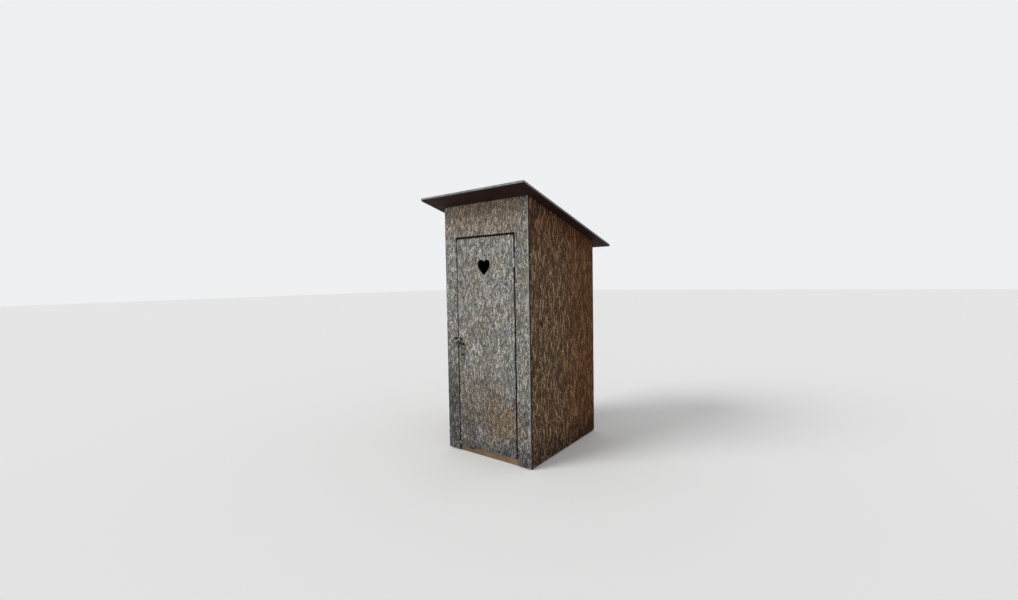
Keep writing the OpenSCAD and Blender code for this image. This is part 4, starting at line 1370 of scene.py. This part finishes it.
# Pieces that keep the frame's own mesh
WORN_AS_THEY_ARE = (
    (FLOOR_BOARD, "floor_panel"),
    (FELT, "roof_felt"),
    (ZINC, "drip_edge_front drip_edge_back drip_edge_left drip_edge_right"),
    (RUSTY, "stile_eye door_eye door_handle"),
    (HINGE, "hinge_frame_leaves hinge_door_leaves hinge_pins"),
    (SHACKLE, "padlock_shackle"),
)
for material, names in WORN_AS_THEY_ARE:
    for node in names.split():
        wear(node, material)
padlock_case()

# Raised strands
FRONT_SHEETS = (
    ("strands_left_strip", left_strip_low.x, left_strip_high.x, left_strip_low.z, doorway_top, 21),
    ("strands_right_strip", right_strip_low.x, right_strip_high.x, right_strip_low.z, doorway_top, 22),
    ("strands_header", left_strip_low.x, right_strip_high.x, doorway_top, header_high.z, 23),
)
for name, *edges, seed in FRONT_SHEETS:
    strand_flakes(name, "front", rectangle(*edges), seed, slot="front_sheet")
heart = heart_shape()
bpy.context.scene.collection.objects.link(heart)
strand_flakes("strands_door", "front", rectangle(door_low.x, door_high.x, door_low.z, door_high.z), 24, DOOR,
              "door_sheet", heart)
bpy.data.objects.remove(heart)
foot_front, foot_back = (wall_low.y, wall_low.z), (wall_high.y, wall_low.z)
top_front, top_back = (wall_low.y, roof_z(wall_low.y)), (wall_high.y, roof_z(wall_high.y))
strand_flakes("strands_right_wall", "right", [foot_front, foot_back, top_back, top_front], 25)
mirrored = [(-y, z) for y, z in (foot_back, foot_front, top_front, top_back)]
strand_flakes("strands_left_wall", "left", mirrored, 26)
strand_flakes("strands_back_wall", "back", rectangle(-half_w, half_w, back_foot, roof_z(half_d)), 27)

# Roof boards
board_width = (deck_high.y - deck_low.y) / DECK_BOARDS
boards = grown_mesh("deck_boards", dots([(0, 0)]), DECK_TREE, Boards=DECK_BOARDS, Board_Width=board_width,
                    Gap=BOARD_GAP, Length=deck_high.x - deck_low.x, Thickness=DECK_T, Chamfer=BOARD_CHAMFER,
                    Material=DECK)
boards.transform(Matrix.Translation((0, deck_low.y + board_width / 2, 0)))
slope = Matrix.Identity(4)
slope[2][1] = -pitch
slope[2][3] = roof_z(0)
boards.transform(slope)
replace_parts(new_piece("deck_boards", boards, DECK, CABIN, "roof_deck"), "roof_deck")

# Screws
screws("front_screws", "front", screw_rows((JAMB_SCREWS, POST_SCREWS), header_high.z), CABIN, 5)
screws("door_screws", "front", screw_rows((BATTEN_SCREWS,), door_high.z), DOOR, 6)
handle_spots = [(x, z) for x in HANDLE_SCREWS_X for z in HANDLE_SCREWS_Z]
screws("handle_screws", "front", handle_spots, DOOR, 9, HANDLE_SCREW, lift=0.003)
eye_screws("stile_eye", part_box("stile_eye")[0].x, 1, CABIN, 10)
eye_screws("door_eye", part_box("door_eye")[1].x, -1, DOOR, 11)
back_top = roof_z(half_d)
for face in ("left", "right"):
    screws(face + "_wall_screws", face, screw_rows((SIDE_SCREWS,), back_top), CABIN, 7)
screws("back_wall_screws", "back", screw_rows((POST_SCREWS,), back_top), CABIN, 8)

# Roof covering
felt_lap()
edge_nails = []
for i in range(-3, 4):
    edge_nails += [(EDGE_NAIL_SPACING * i, side * EDGE_NAILS_Y * slope_length) for side in (-1, 1)]
for i in range(-4, 5):
    edge_nails += [(side * EDGE_NAILS_X, EDGE_NAIL_SPACING * i * slope_length) for side in (-1, 1)]
nails("drip_edge_nails", roof_plane(DECK_T + FELT_T + DRIP_T), edge_nails, 12)
lap_nails = [(LAP_NAIL_SPACING * i, LAP_NAILS_Y) for i in range(-5, 6)]
nails("felt_lap_nails", roof_plane(DECK_T + FELT_T + LAP_T), lap_nails, 13)

# Splinters that show pale on the front
STRIP_SPLINTERS = (
    (0.353, 0.690, 12, 0.034, 0.005, 0.005),
    (0.405, 0.236, -63, 0.050, 0.003, 0.001),
    (0.443, 1.105, -22, 0.028, 0.004, 0.003),
)
DOOR_SPLINTERS = (
    (-0.095, 0.872, -25, 0.040, 0.005, 0.005),
    (0.315, 1.745, 4, 0.045, 0.004, 0.002),
    (0.316, 1.800, -3, 0.036, 0.003, 0.003),
    (-0.315, 0.075, 80, 0.030, 0.004, 0.002),
)
splinters("stile_splinters", STRIP_SPLINTERS, CABIN, "front_sheet")
splinters("door_splinters", DOOR_SPLINTERS, DOOR, "door_sheet")


# Stage, light and camera
def plain_material(name, level):
    t = Finish(name)
    t.shade(Base_Color=(level, level, level, 1.0), Roughness=0.9, Specular_IOR_Level=0.2)
    return t.material


def make_stage():
    mesh = outline_mesh(rectangle(-FLOOR_REACH, FLOOR_REACH, -FLOOR_REACH, FLOOR_REACH))
    mesh.materials.append(plain_material("pale floor", FLOOR_GREY))
    floor = bpy.data.objects.new("floor", mesh)
    bpy.context.scene.collection.objects.link(floor)


def make_sun():
    data = bpy.data.lights.new("soft sun", "SUN")
    data.energy = SUN_STRENGTH
    data.angle = math.radians(SUN_SPREAD)
    lamp = bpy.data.objects.new("soft sun", data)
    lamp.rotation_euler = Vector(SUN_PLACE).to_track_quat("Z", "Y").to_euler()
    bpy.context.scene.collection.objects.link(lamp)


def make_world():
    world = bpy.data.worlds.new("soft daylight")
    world.use_nodes = True
    t = Tree(world.node_tree)
    shader = world.node_tree.nodes["Background"]
    path = t.add("ShaderNodeLightPath").outputs
    seen = t.most(path["Is Camera Ray"], path["Is Glossy Ray"])
    t.feed(shader.inputs["Color"], t.colour(seen, WHITE, SKY_SEEN))
    t.feed(shader.inputs["Strength"], t.mix("FLOAT", seen, SKY_STRENGTH, 1.0))
    bpy.context.scene.world = world


def make_camera():
    data = bpy.data.cameras.new("photo")
    data.sensor_width = SENSOR_MM
    data.lens = LENS_MM
    camera = bpy.data.objects.new("photo", data)
    turn = Matrix.Rotation(math.radians(EYE_TURN), 4, "Z")
    tilt = Matrix.Rotation(math.radians(90 + EYE_TILT), 4, "X")
    roll = Matrix.Rotation(math.radians(EYE_ROLL), 4, "Z")
    camera.matrix_world = Matrix.Translation(EYE) @ turn @ tilt @ roll
    bpy.context.scene.collection.objects.link(camera)
    bpy.context.scene.camera = camera


make_stage()
make_world()
make_sun()
make_camera()
bpy.context.scene.view_settings.view_transform = "Standard"
